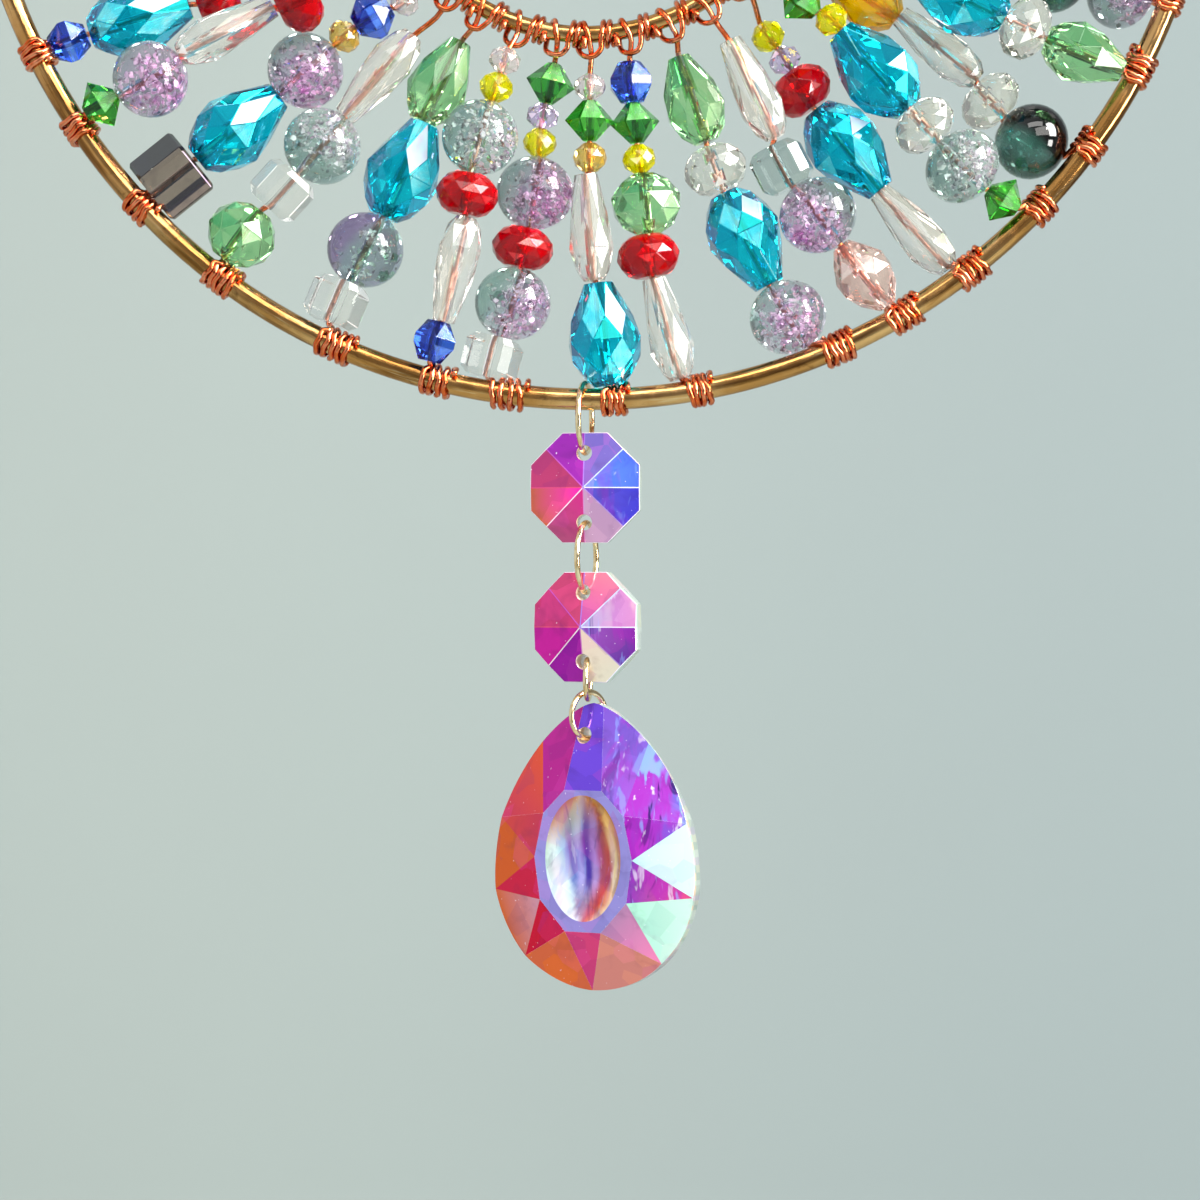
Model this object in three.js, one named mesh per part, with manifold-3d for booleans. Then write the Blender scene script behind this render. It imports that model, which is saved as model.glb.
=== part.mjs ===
// A hanging crystal suncatcher: a big brass hoop and a small brass hoop inside it, joined by forty wired
// strands of glass beads, with two octagon crystals and a teardrop crystal hanging below on jump rings.
// Millimetres, +Z up, front towards -Y. The origin is the inside top of the hanging ring.
import * as THREE from "three";
import { mergeVertices } from "three/addons/utils/BufferGeometryUtils.js";
import Module from "manifold-3d";

// Hoops
const OUTER_R = 78.5; // to the middle of the wire
const OUTER_WIRE = 1.4; // radius of the wire
const INNER_R = 27.6;
const INNER_WIRE = 1.1;
const INNER_CENTRE = [-0.51, -4.33]; // x and z from the outer hoop's centre
const GAP = 0.3; // room left where pieces touch

// Rings at the top
const HANGING_R = 6.5;
const HANGING_WIRE = 0.7;
const JUMP_WIRE = 0.37;
const TOP_JUMP_R = 4.2;

// Octagon crystals, 14 mm across flats, and the teardrop crystal, 36.5 mm tall and 29 mm wide
const OCT_APOTHEM = 7;
const OCT_APEX = 2.5;
const OCT_EDGE = 1.0;
const OCT_HOLE_AT = 4.4;
const OCT_HOLE_R = 1.0;
const TEAR_HALF = 14.5;
const TEAR_TOP = 19.6;
const TEAR_ROUND_AT = -2.4;
const TEAR_TABLE = 3.5;
const TEAR_RIM = 0.9;
const TEAR_HOLE_AT = 15.5;
const TEAR_HOLE_R = 1.05;
const TEAR_HOLE_X = -0.83; // the hole is drilled a little off the middle
const TEAR_NECK = 1.9; // half width of the top facet at the hole
const DISH = { a: 5.45, b: 8.0, deep: 1.3, bulge: 6 };

// Strands
const WIRE_R = 0.36;
const SIDES = 5;
const BEAD_GAP = 0.1;

// One bead of each kind: length along the wire, diameter, profile, colour. A profile is [share of the
// length, share of the radius] from the outer hoop inwards.
const PROFILE = {
  bicone: [[0, 0.27], [0.5, 1], [1, 0.27]],
  blunt: [[0, 0.46], [0.4, 0.95], [0.6, 0.95], [1, 0.46]],
  ball: [[0, 0.25], [0.2, 0.82], [0.5, 1], [0.8, 0.82], [1, 0.25]],
  rondelle: [[0, 0.5], [0.22, 0.88], [0.5, 1], [0.78, 0.88], [1, 0.5]],
  cube: [[0, 0.72], [0.18, 1], [0.82, 1], [1, 0.72]],
  tear: [[0, 0.4], [0.2, 0.82], [0.44, 1], [0.66, 0.83], [1, 0.4]],
  oval: [[0, 0.32], [0.2, 0.74], [0.45, 1], [0.64, 0.94], [0.84, 0.66], [1, 0.32]],
  drop: [[0, 0.46], [0.3, 1], [0.6, 0.86], [1, 0.52]],
};
const turned = (p) => p.map(([f, r]) => [1 - f, r]).reverse();
const BEAD = {
  B: { long: 5.2, wide: 6.0, profile: PROFILE.blunt }, // blue bicone
  G: { long: 5.2, wide: 6.0, profile: PROFILE.bicone }, // green bicone
  T: { long: 13.2, wide: 9.8, profile: PROFILE.tear }, // teal teardrop, wide end outwards
  t: { long: 13.2, wide: 9.8, profile: turned(PROFILE.tear) },
  R: { long: 5.4, wide: 8.2, profile: PROFILE.rondelle }, // red rondelle
  C: { long: 13.6, wide: 5.8, profile: PROFILE.drop }, // clear long drop, wide end outwards
  c: { long: 13.6, wide: 5.8, profile: turned(PROFILE.drop) },
  Kp: { long: 9.5, wide: 9.9, profile: PROFILE.ball }, // crackle balls
  Kg: { long: 9.5, wide: 9.9, profile: PROFILE.ball },
  Kv: { long: 9.5, wide: 9.9, profile: PROFILE.ball },
  Km: { long: 9.5, wide: 9.9, profile: PROFILE.ball },
  D: { long: 9.5, wide: 9.9, profile: PROFILE.ball }, // dark ball
  U: { long: 5.8, wide: 6.5, profile: PROFILE.cube }, // clear faceted block
  Us: { long: 7.2, wide: 7.2, profile: PROFILE.cube }, // smoky cube
  Ug: { long: 5.9, wide: 6.8, profile: PROFILE.cube }, // grey block
  F: { long: 6.0, wide: 8.4, profile: PROFILE.rondelle }, // clear faceted round
  Fg: { long: 7.8, wide: 9.2, profile: PROFILE.ball }, // light green faceted round
  L: { long: 11.4, wide: 8.0, profile: PROFILE.tear }, // light green teardrop
  l: { long: 11.4, wide: 8.0, profile: turned(PROFILE.tear) },
  Lp: { long: 9.8, wide: 7.5, profile: PROFILE.oval }, // pink oval
  La: { long: 11.4, wide: 8.0, profile: PROFILE.tear }, // amber drop
  Y: { long: 3.7, wide: 4.4, profile: PROFILE.rondelle }, // small yellow
  A: { long: 3.7, wide: 4.4, profile: PROFILE.rondelle }, // small amber
  V: { long: 3.2, wide: 4.3, profile: PROFILE.rondelle }, // small lavender
  P: { long: 3.2, wide: 4.2, profile: PROFILE.rondelle }, // small pale pink
};

// Each strand: its angle at the outer hoop and at the inner hoop, in degrees from straight down and
// clockwise as seen from the front, how far in front (-) or behind (+) it lies at either end, and its beads
// from the outer hoop inwards. A bead is [kind, distance of its middle along the wire, how far the wire
// bends aside there, its length]. A plain list of kinds is threaded one against the other.
const STRANDS = [
  [9.4, 7.2, 1.4, 1.6, [["U", 4.4, 0.7, 5.3], ["Kv", 11.7, -0.6, 9.1], ["R", 18.9, -0.5, 5.1], ["Kp", 26.1, -0.7, 9.1], ["Y", 32.5, -0.1, 3.5], ["V", 35.9, 0.2, 3.1], ["G", 40.2, 0.0, 5.2]]],
  [15.1, 17.5, -1.7, -2.2, [["B", 4.6, 0.6, 5.2], ["c", 14.1, 0.3, 13.6], ["R", 23.7, 1.2, 5.3], ["Kg", 31.1, 1.4, 9.3], ["Y", 37.7, 1.0, 3.6], ["P", 41.3, 0.8, 3.2]]],
  [25.1, 28.1, 0.6, 1.9, [["U", 5.0, 1.4, 5.7], ["Km", 12.6, 0.9, 9.3], ["T", 23.9, 0.7, 13.1], ["L", 36.2, 1.3, 11.4]]],
  [36.9, 37.0, -0.1, -0.8, [["Fg", 5.8, 1.3, 7.8], ["U", 13.4, 0.9, 5.7], ["Kg", 21.0, 0.5, 9.3], ["c", 32.5, 0.6, 13.5]]],
  [46.9, 47.0, 1.1, 2.0, [["Us", 5.3, 0.5, 7.0], ["T", 15.8, -0.1, 13.2], ["Kp", 27.1, 0.0, 9.3], ["A", 33.7, 0.2, 3.5], ["B", 38.1, -0.1, 5.1], ["P", 42.5, -1.2, 3.2]]],
  [55.9, 57.0, -2.2, -2.8, [["G", 4.0, 0.9, 4.6], ["Kp", 11.0, 0.4, 9.2], ["C", 22.4, 0.8, 13.5], ["R", 32.1, -0.8, 5.4], ["Y", 36.8, -0.7, 3.7], ["B", 41.3, -0.4, 5.2]]],
  [63.9, 66.0, 2.2, 2.8, [["B", 4.2, 0.4, 5.0], ["T", 13.7, -0.4, 13.2], ["R", 23.9, -1.8, 5.4], ["B", 29.3, -1.6, 5.2], ["C", 38.8, -0.7, 13.6]]],
  [73.0, 74.7, 0.0, 0.0, "C D c B"],
  [82.1, 83.4, 0.0, -0.1, "Kp Us C A Y A Y"],
  [91.2, 92.2, 0.0, 0.0, "Kp L C Y V Y"],
  [100.2, 100.9, 0.0, 0.0, "U C R F C"],
  [109.3, 109.6, 0.0, 0.0, "Us Kp Lp C Y P"],
  [118.4, 118.3, 0.0, 0.0, "Kp Fg t G Y G P"],
  [127.5, 127.0, 0.1, 0.0, "Kg L C A G Y"],
  [136.6, 135.8, 0.0, 0.0, "Kg T F Lp A G"],
  [145.7, 144.5, 0.0, 0.0, "T B R C V G A"],
  [154.7, 153.2, 0.0, 0.0, "Km L C V G B"],
  [163.8, 161.9, 0.0, 0.0, "B T C Y A G P"],
  [172.9, 170.6, 0.0, 0.0, "B L R c Y G P"],
  [-178.0, 179.4, 0.0, 0.0, "L Fg L c Y"],
  [-168.9, -171.9, -0.1, 0.0, "Kv B Kp Lp G Y G"],
  [-159.8, -163.2, 0.1, 0.0, "C G Lp C Y P"],
  [-150.8, -154.5, 0.0, 0.0, "T Fg t Y G A P"],
  [-141.7, -145.8, 0.1, 0.0, "U Kp F C P Y G"],
  [-132.6, -137.0, 0.0, 0.0, "B G Kv T Y V Y B"],
  [-123.5, -128.3, 0.0, 0.0, "B Km B c Y G Y P"],
  [-114.4, -119.6, 0.0, 0.0, "B Kv C R Y G A"],
  [-105.3, -110.9, 0.1, 0.0, "L Fg C P B G"],
  [-96.3, -102.2, 0.0, 0.0, "Us T F Lp A P Y"],
  [-87.2, -93.4, 0.0, 0.0, "Kp Us C V G Y P"],
  [-78.1, -84.7, 0.0, 0.0, "Kv Us t Y G P A"],
  [-69.1, -76.0, 1.8, 0.7, [["Kp", 6.0, 0.1, 8.4], ["D", 14.9, 1.2, 9.1], ["G", 22.1, 1.1, 5.2], ["C", 31.6, 0.7, 13.6], ["V", 40.1, 0.3, 3.2], ["Y", 43.7, 0.2, 3.7]]],
  [-62.0, -68.0, -2.2, -2.8, [["l", 7.0, 1.4, 10.5], ["F", 15.2, 1.7, 5.6], ["T", 24.6, 1.8, 13.0], ["Y", 33.1, 1.6, 3.7], ["G", 37.6, 1.1, 5.2], ["Y", 42.2, 0.6, 3.7], ["P", 45.7, 0.2, 3.2]]],
  [-53.3, -60.0, 2.2, 1.9, [["D", 6.3, 2.6, 9.0], ["F", 13.6, 1.5, 5.4], ["C", 22.9, -0.1, 12.9], ["La", 35.0, 0.2, 11.1], ["G", 43.2, 0.1, 5.2]]],
  [-46.1, -52.0, -1.6, -1.7, [["G", 4.0, 2.1, 4.6], ["Kg", 10.7, 2.5, 8.4], ["F", 17.7, 2.0, 5.5], ["T", 27.1, 1.2, 13.1], ["Y", 35.5, 0.3, 3.5], ["G", 39.9, 1.1, 5.1]]],
  [-37.6, -42.5, 2.2, 2.5, [["C", 8.4, 1.7, 13.3], ["t", 21.7, 1.9, 13.2], ["R", 31.4, 1.9, 5.4], ["V", 35.8, 1.1, 3.2], ["Y", 39.5, 0.9, 3.7]]],
  [-30.0, -32.3, -1.9, -2.2, [["Lp", 6.8, 1.2, 9.7], ["Kp", 16.4, 2.2, 9.2], ["Ug", 24.0, 2.9, 5.7], ["C", 34.3, 0.8, 13.6]]],
  [-22.2, -22.1, 1.2, 1.0, [["Kv", 6.3, 2.1, 9.1], ["t", 17.5, 2.7, 13.1], ["F", 27.3, 2.6, 6.0], ["L", 36.6, 1.5, 11.4]]],
  [-9.0, -11.3, 0.0, 0.0, [["C", 8.4, 1.3, 13.3], ["R", 17.9, 2.2, 5.4], ["Fg", 24.5, 1.4, 7.7], ["Y", 30.3, 1.4, 3.6], ["G", 34.9, 1.2, 5.2], ["B", 40.1, 0.9, 5.2]]],
  [-1.9, -1.0, 0.0, 0.0, [["T", 8.3, 0.5, 13.2], ["C", 22.0, 1.5, 13.6], ["A", 30.9, 1.0, 3.7], ["G", 35.6, 0.8, 5.2], ["P", 39.9, 0.5, 3.2]]],
];

// The chain below: middles of the jump rings and crystals, how far each is turned about the vertical
const CHAIN_X = -0.75;
const JUMP = [
  { name: "jump_ring_1", x: CHAIN_X, z: -80.82, r: 4.42, turn: 11 },
  { name: "jump_ring_2", x: -0.55, z: -98.54, r: 4.43, turn: 16 },
  { name: "jump_ring_3", x: -0.4, z: -114.04, r: 2.53, turn: 6 },
  { name: "jump_ring_4", x: -0.3, z: -118.58, r: 2.97, turn: 46 },
];
const OCTAGONS = [
  { name: "octagon_crystal_1", x: -0.65, z: -89.69, turn: 8 },
  { name: "octagon_crystal_2", x: -0.45, z: -107.38, turn: 22 },
];
const TEARDROP = { name: "teardrop_crystal", x: 0.65, z: -136.62, turn: 29 };

const wasm = await Module();
wasm.setup();

// A closed geometry as a solid, and back.
function solid(geometry) {
  const bare = new THREE.BufferGeometry().setAttribute(
    "position",
    (geometry.index ? geometry.toNonIndexed() : geometry).getAttribute("position"),
  );
  const merged = mergeVertices(bare, 1e-4);
  return new wasm.Manifold(
    new wasm.Mesh({
      numProp: 3,
      vertProperties: new Float32Array(merged.attributes.position.array),
      triVerts: new Uint32Array(merged.index.array),
    }),
  );
}
function geometryOf(body) {
  const m = body.getMesh();
  const g = new THREE.BufferGeometry();
  const p = new Float32Array(m.numVert * 3);
  for (let i = 0; i < m.numVert; i++)
    for (let k = 0; k < 3; k++) p[3 * i + k] = m.vertProperties[m.numProp * i + k];
  g.setAttribute("position", new THREE.BufferAttribute(p, 3));
  g.setIndex(new THREE.BufferAttribute(new Uint32Array(m.triVerts), 1));
  return g;
}

const brass = new THREE.MeshStandardMaterial({ color: 0x8a6030, roughness: 0.35, metalness: 1, flatShading: true });
const gold = new THREE.MeshStandardMaterial({ color: 0xe6d2a8, roughness: 0.15, metalness: 1, flatShading: true });
const crystal = new THREE.MeshStandardMaterial({ color: 0xb060c0, roughness: 0.05, metalness: 0, flatShading: true });
const glassColour = { B: 0x1f3fc0, G: 0x1e8a28, T: 0x0e9ec0, R: 0xd0000f, C: 0xe8e8e4, K: 0xa8a0b0 };
const glass = (code) =>
  new THREE.MeshStandardMaterial({
    color: glassColour[code[0].toUpperCase()] ?? 0xc8c8c0,
    roughness: 0.05,
    metalness: 0,
    flatShading: true,
  });

const suncatcher = new THREE.Group();
const origin = 80.6 + TOP_JUMP_R - JUMP_WIRE - GAP - HANGING_WIRE + HANGING_R + HANGING_R - HANGING_WIRE;
suncatcher.position.set(0, 0, 0);
const hoops = new THREE.Group(); // everything below is placed from the outer hoop's centre
hoops.position.set(0, 0, -origin);
suncatcher.add(hoops);

function add(name, geometry, material, x, y, z) {
  const mesh = new THREE.Mesh(geometry, material);
  mesh.name = name;
  mesh.position.set(x, y, z);
  hoops.add(mesh);
  return mesh;
}

// Hoops lie in the XZ plane.
function hoop(name, radius, wire, sides, steps, material, x, z) {
  const g = new THREE.TorusGeometry(radius, wire, sides, steps);
  g.rotateX(Math.PI / 2);
  return add(name, g, material, x, 0, z);
}
hoop("outer_ring", OUTER_R, OUTER_WIRE, 6, 60, brass, 0, 0);
hoop("inner_ring", INNER_R, INNER_WIRE, 6, 36, brass, INNER_CENTRE[0], INNER_CENTRE[1]);
hoop("hanging_ring", HANGING_R, HANGING_WIRE, 6, 20, brass, 0, origin - HANGING_R + HANGING_WIRE);

// A jump ring stands upright, turned about the vertical: at 0 it is seen edge on from the front.
function jumpRing({ name, x, z, r, turn }) {
  const g = new THREE.TorusGeometry(r, JUMP_WIRE, 5, 16);
  g.rotateY(Math.PI / 2);
  const mesh = add(name, g, gold, x, 0, z);
  mesh.rotation.z = THREE.MathUtils.degToRad(-turn);
}
jumpRing({ name: "top_jump_ring", x: 0, z: 80.6, r: TOP_JUMP_R, turn: 0 });
JUMP.forEach(jumpRing);

// Strands
function rimPoint([cx, cz], radius, degrees) {
  const a = THREE.MathUtils.degToRad(degrees);
  return new THREE.Vector3(cx - radius * Math.sin(a), 0, cz - radius * Math.cos(a));
}
function threaded(codes, start) {
  let t = start;
  return codes.split(" ").map((code) => {
    const long = BEAD[code].long;
    const row = [code, t + BEAD_GAP + long / 2, 0, long];
    t += BEAD_GAP + long;
    return row;
  });
}
function strand(index, [outerAngle, innerAngle, depthOut, depthIn, beads]) {
  const from = rimPoint([0, 0], OUTER_R, outerAngle);
  const to = rimPoint(INNER_CENTRE, INNER_R, innerAngle);
  const along = to.clone().sub(from);
  const length = along.length();
  along.normalize();
  const aside = new THREE.Vector3(-along.z, 0, along.x);
  const start = OUTER_WIRE + GAP;
  const end = length - INNER_WIRE - GAP;
  const rows = typeof beads === "string" ? threaded(beads, start + 0.15) : beads;
  // The profile of wire and beads as one turned body: beads that touch share a waist.
  const profile = [];
  let reached = start;
  rows.forEach(([code, middle, , long], i) => {
    const { wide, profile: shape } = BEAD[code];
    const points = shape.map(([f, r]) => [middle - long / 2 + f * long, (r * wide) / 2]);
    const before = points[0][0] - reached;
    if (i === 0 && before < 0.6) profile.push([points[0][0], 0], points[0]);
    else if (i === 0) profile.push([start, 0], [start, WIRE_R], [points[0][0] - 0.05, WIRE_R], points[0]);
    else if (before > 0.6) profile.push([reached + 0.05, WIRE_R], [points[0][0] - 0.05, WIRE_R], points[0]);
    else {
      const last = profile.pop();
      profile.push([(last[0] + points[0][0]) / 2, Math.min(last[1], points[0][1])]);
    }
    profile.push(...points.slice(1));
    reached = points[points.length - 1][0];
  });
  profile.push([reached + 0.05, WIRE_R], [end, WIRE_R], [end, 0]);
  const lathe = new THREE.LatheGeometry(
    profile.map(([t, r]) => new THREE.Vector2(r, t)),
    SIDES,
  );
  // Where the wire runs at a distance t: straight between the beads' middles.
  const knots = [[0, 0], ...rows.map(([, middle, bend]) => [middle, bend]), [length, 0]];
  const bendAt = (t) => {
    const k = Math.max(1, knots.findIndex(([at]) => at >= t));
    const [t0, b0] = knots[k - 1];
    const [t1, b1] = knots[k];
    return b0 + ((b1 - b0) * (t - t0)) / (t1 - t0);
  };
  const p = lathe.getAttribute("position");
  const v = new THREE.Vector3();
  for (let i = 0; i < p.count; i++) {
    const t = p.getY(i);
    v.copy(from).addScaledVector(along, t).addScaledVector(aside, bendAt(t) + p.getX(i));
    v.y = depthOut + ((depthIn - depthOut) * t) / length + p.getZ(i);
    p.setXYZ(i, v.x, v.y, v.z);
  }
  add("bead_strand_" + String(index + 1).padStart(2, "0"), lathe, glass(rows[0][0]), 0, 0, 0);
}
STRANDS.forEach((s, i) => strand(i, s));

// A crystal's own frame: x to its right, y up, z out of its front. It hangs with its front turned to the left.
function hang(name, body, { x, z, turn }) {
  const mesh = add(name, geometryOf(body), crystal, x, 0, z);
  const a = THREE.MathUtils.degToRad(turn);
  const right = new THREE.Vector3(Math.cos(a), -Math.sin(a), 0);
  const up = new THREE.Vector3(0, 0, 1);
  mesh.quaternion.setFromRotationMatrix(
    new THREE.Matrix4().makeBasis(right, up, new THREE.Vector3().crossVectors(right, up)),
  );
}
function bore(radius, y, half) {
  const g = new THREE.CylinderGeometry(radius, radius, 2 * half, 10);
  g.rotateX(Math.PI / 2);
  g.translate(0, y, 0);
  return solid(g);
}

// Octagon: on either side eight kites run from the middle to the corners, and meet at the middles of the edges.
function octagon(spec) {
  const corner = OCT_APOTHEM / Math.cos(Math.PI / 8);
  const drop = (OCT_APEX - OCT_EDGE) / Math.cos(Math.PI / 8) ** 2;
  const rim = [];
  for (let i = 0; i < 16; i++) {
    const a = (i * Math.PI) / 8 + Math.PI / 2;
    const isCorner = i % 2 === 1;
    const r = isCorner ? corner : OCT_APOTHEM;
    rim.push([r * Math.cos(a), r * Math.sin(a), isCorner ? OCT_APEX - drop : OCT_EDGE]);
  }
  const tri = [];
  rim.forEach((p, i) => {
    const q = rim[(i + 1) % 16];
    const [pb, qb] = [p, q].map(([x, y, z]) => [x, y, -z]);
    tri.push([[0, 0, OCT_APEX], p, q], [[0, 0, -OCT_APEX], qb, pb], [p, pb, qb], [p, qb, q]);
  });
  const g = new THREE.BufferGeometry();
  g.setAttribute("position", new THREE.Float32BufferAttribute(tri.flat(2), 3));
  let body = solid(g);
  for (const side of [1, -1]) body = body.subtract(bore(OCT_HOLE_R, side * OCT_HOLE_AT, 4));
  hang(spec.name, body, spec);
}
OCTAGONS.forEach(octagon);

// Teardrop: half its width at a height y above the middle of its table.
const tearSpan = TEAR_TOP - TEAR_ROUND_AT;
const tearWidth = (y) =>
  y < TEAR_ROUND_AT
    ? Math.sqrt(Math.max(0, TEAR_HALF ** 2 - (y - TEAR_ROUND_AT) ** 2))
    : TEAR_HALF * (1 - ((y - TEAR_ROUND_AT) / tearSpan) ** 2) ** 0.7;
function teardrop(spec) {
  const side = [];
  for (let i = 0; i <= 18; i++) {
    const s = (i / 18) * Math.PI;
    const y = i < 9 ? TEAR_ROUND_AT - TEAR_HALF * Math.cos(s) : TEAR_ROUND_AT + tearSpan * Math.sin(s - Math.PI / 2);
    side.push([tearWidth(y), y]);
  }
  side[0][0] = 0;
  side[18][0] = 0;
  const outline = [...side, ...side.slice(1, -1).reverse().map(([x, y]) => [-x, y])];
  const g = new THREE.ExtrudeGeometry(new THREE.Shape(outline.map(([x, y]) => new THREE.Vector2(x, y))), {
    depth: 2 * TEAR_TABLE,
    bevelEnabled: false,
  });
  g.translate(0, 0, -TEAR_TABLE);
  let body = solid(g);
  // Corners of the flat table and of the rim, on the right side from the top down; the left side mirrors them.
  const t = [[2.7, 8.6], [5.75, 5.6], [7.05, 0], [6.25, -5.4], [2.6, -9.3]].map(([x, y]) => [x, y, TEAR_TABLE]);
  const r = [14.6, 4.7, -4.6, -13.0].map((y) => [tearWidth(y), y, TEAR_RIM]);
  const bottom = [0, TEAR_ROUND_AT - TEAR_HALF, TEAR_RIM];
  const tip = [0, TEAR_TOP, 0.55];
  const mirror = ([x, y, z]) => [-x, y, z];
  const fall = (TEAR_HOLE_AT - t[0][1]) / (tip[1] - t[0][1]);
  const neck = [TEAR_NECK, TEAR_HOLE_AT, TEAR_TABLE + (tip[2] - TEAR_TABLE) * fall];
  // The highest rim corner lies in the plane of the facet beside the hole.
  const away = ([x, y]) => (t[0][1] - t[1][1]) * (x - t[0][0]) + (t[1][0] - t[0][0]) * (y - t[0][1]);
  r[0][2] = TEAR_TABLE - ((TEAR_TABLE - neck[2]) * away(r[0])) / away(neck);
  const facets = [
    [t[0], mirror(t[0]), tip],
    [t[1], t[0], neck],
    [t[1], r[0], r[1]],
    [t[2], t[1], r[1]],
    [t[2], r[1], r[2]],
    [t[3], t[2], r[2]],
    [t[3], r[2], r[3]],
    [t[4], t[3], r[3]],
    [t[4], r[3], bottom],
    [mirror(t[4]), t[4], bottom],
  ];
  const cutters = [];
  for (const points of facets) {
    const [a, b, c] = points.map((p) => new THREE.Vector3(...p));
    const normal = b.clone().sub(a).cross(c.clone().sub(a)).normalize();
    if (normal.z < 0) normal.negate();
    for (const flip of Math.abs(normal.x) > 1e-6 ? [1, -1] : [1])
      for (const face of [1, -1]) {
        const n = new THREE.Vector3(normal.x * flip, normal.y, normal.z * face);
        const at = new THREE.Vector3(a.x * flip, a.y, a.z * face);
        const box = new THREE.BoxGeometry(80, 80, 16);
        box.translate(0, 0, 8);
        box.applyQuaternion(new THREE.Quaternion().setFromUnitVectors(new THREE.Vector3(0, 0, 1), n));
        box.translate(at.x, at.y, at.z);
        cutters.push(solid(box));
      }
  }
  cutters.forEach((c) => (body = body.subtract(c)));
  body = body.subtract(bore(TEAR_HOLE_R, TEAR_HOLE_AT, 5).translate([TEAR_HOLE_X, 0, 0]));
  // The oval dish in the front
  const share = Math.sqrt(1 - ((DISH.bulge - DISH.deep) / DISH.bulge) ** 2);
  const dish = new THREE.SphereGeometry(1, 18, 20);
  dish.rotateX(Math.PI / 2);
  dish.scale(DISH.a / share, DISH.b / share, DISH.bulge);
  dish.translate(0, 0, TEAR_TABLE + DISH.bulge - DISH.deep);
  body = body.subtract(solid(dish));
  hang(spec.name, body, spec);
}
teardrop(TEARDROP);

export default suncatcher;
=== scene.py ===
import math
import random

import bmesh
import bpy
from mathutils import Matrix, Vector

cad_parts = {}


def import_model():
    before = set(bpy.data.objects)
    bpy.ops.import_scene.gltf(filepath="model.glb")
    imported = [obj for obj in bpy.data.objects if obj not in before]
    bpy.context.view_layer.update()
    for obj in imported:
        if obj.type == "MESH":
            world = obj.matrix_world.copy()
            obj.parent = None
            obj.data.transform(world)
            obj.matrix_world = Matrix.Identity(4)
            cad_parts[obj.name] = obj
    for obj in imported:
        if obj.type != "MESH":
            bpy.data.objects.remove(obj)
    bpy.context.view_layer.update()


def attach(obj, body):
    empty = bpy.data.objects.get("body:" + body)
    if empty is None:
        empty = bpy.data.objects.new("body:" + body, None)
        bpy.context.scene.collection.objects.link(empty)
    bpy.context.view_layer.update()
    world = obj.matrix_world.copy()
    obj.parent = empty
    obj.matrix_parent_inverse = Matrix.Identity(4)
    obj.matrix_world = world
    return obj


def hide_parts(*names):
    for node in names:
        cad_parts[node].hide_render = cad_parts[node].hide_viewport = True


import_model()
MM = 0.001

# ---------------------------------------------------------------- sizes, the same as the construction's
OUTER_R, OUTER_WIRE = 78.5, 1.4
INNER_R, INNER_WIRE = 27.6, 1.1
INNER_CENTRE = (-0.51, -4.33)
HANGING_R, HANGING_WIRE = 6.5, 0.7
TOP_JUMP_R, JUMP_WIRE, GAP = 4.2, 0.37, 0.3
ORIGIN = 80.6 + TOP_JUMP_R - JUMP_WIRE - GAP - HANGING_WIRE + 2 * HANGING_R - HANGING_WIRE
WIRE_R = 0.36
JUMPS = [
    ("top_jump_ring", 0.0, 80.6, TOP_JUMP_R, 0.0),
    ("jump_ring_1", -0.75, -80.82, 4.42, 11.0),
    ("jump_ring_2", -0.55, -98.54, 4.43, 16.0),
    ("jump_ring_3", -0.4, -114.04, 2.53, 6.0),
    ("jump_ring_4", -0.3, -118.58, 2.97, 46.0),
]
OCTAGONS = [("octagon_crystal_1", -0.65, -89.69, 8.0), ("octagon_crystal_2", -0.45, -107.38, 22.0)]
TEARDROP = ("teardrop_crystal", 0.65, -136.62, 29.0)

# Length along the wire and width of each kind of bead
SIZE = {
    "B": (5.2, 6.0), "G": (5.2, 6.0), "T": (13.2, 9.8), "t": (13.2, 9.8), "R": (5.4, 8.2), "C": (13.6, 5.8),
    "c": (13.6, 5.8), "Kp": (9.5, 9.9), "Kg": (9.5, 9.9), "Kv": (9.5, 9.9), "Km": (9.5, 9.9), "D": (9.5, 9.9),
    "U": (5.8, 6.5), "Us": (7.2, 7.2), "Ug": (5.9, 6.8), "F": (6.0, 8.4), "Fg": (7.8, 9.2), "L": (11.4, 8.0),
    "l": (11.4, 8.0), "Lp": (9.8, 7.5), "La": (11.4, 8.0), "Y": (3.7, 4.4), "A": (3.7, 4.4), "V": (3.2, 4.3),
    "P": (3.2, 4.2),
}
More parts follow.
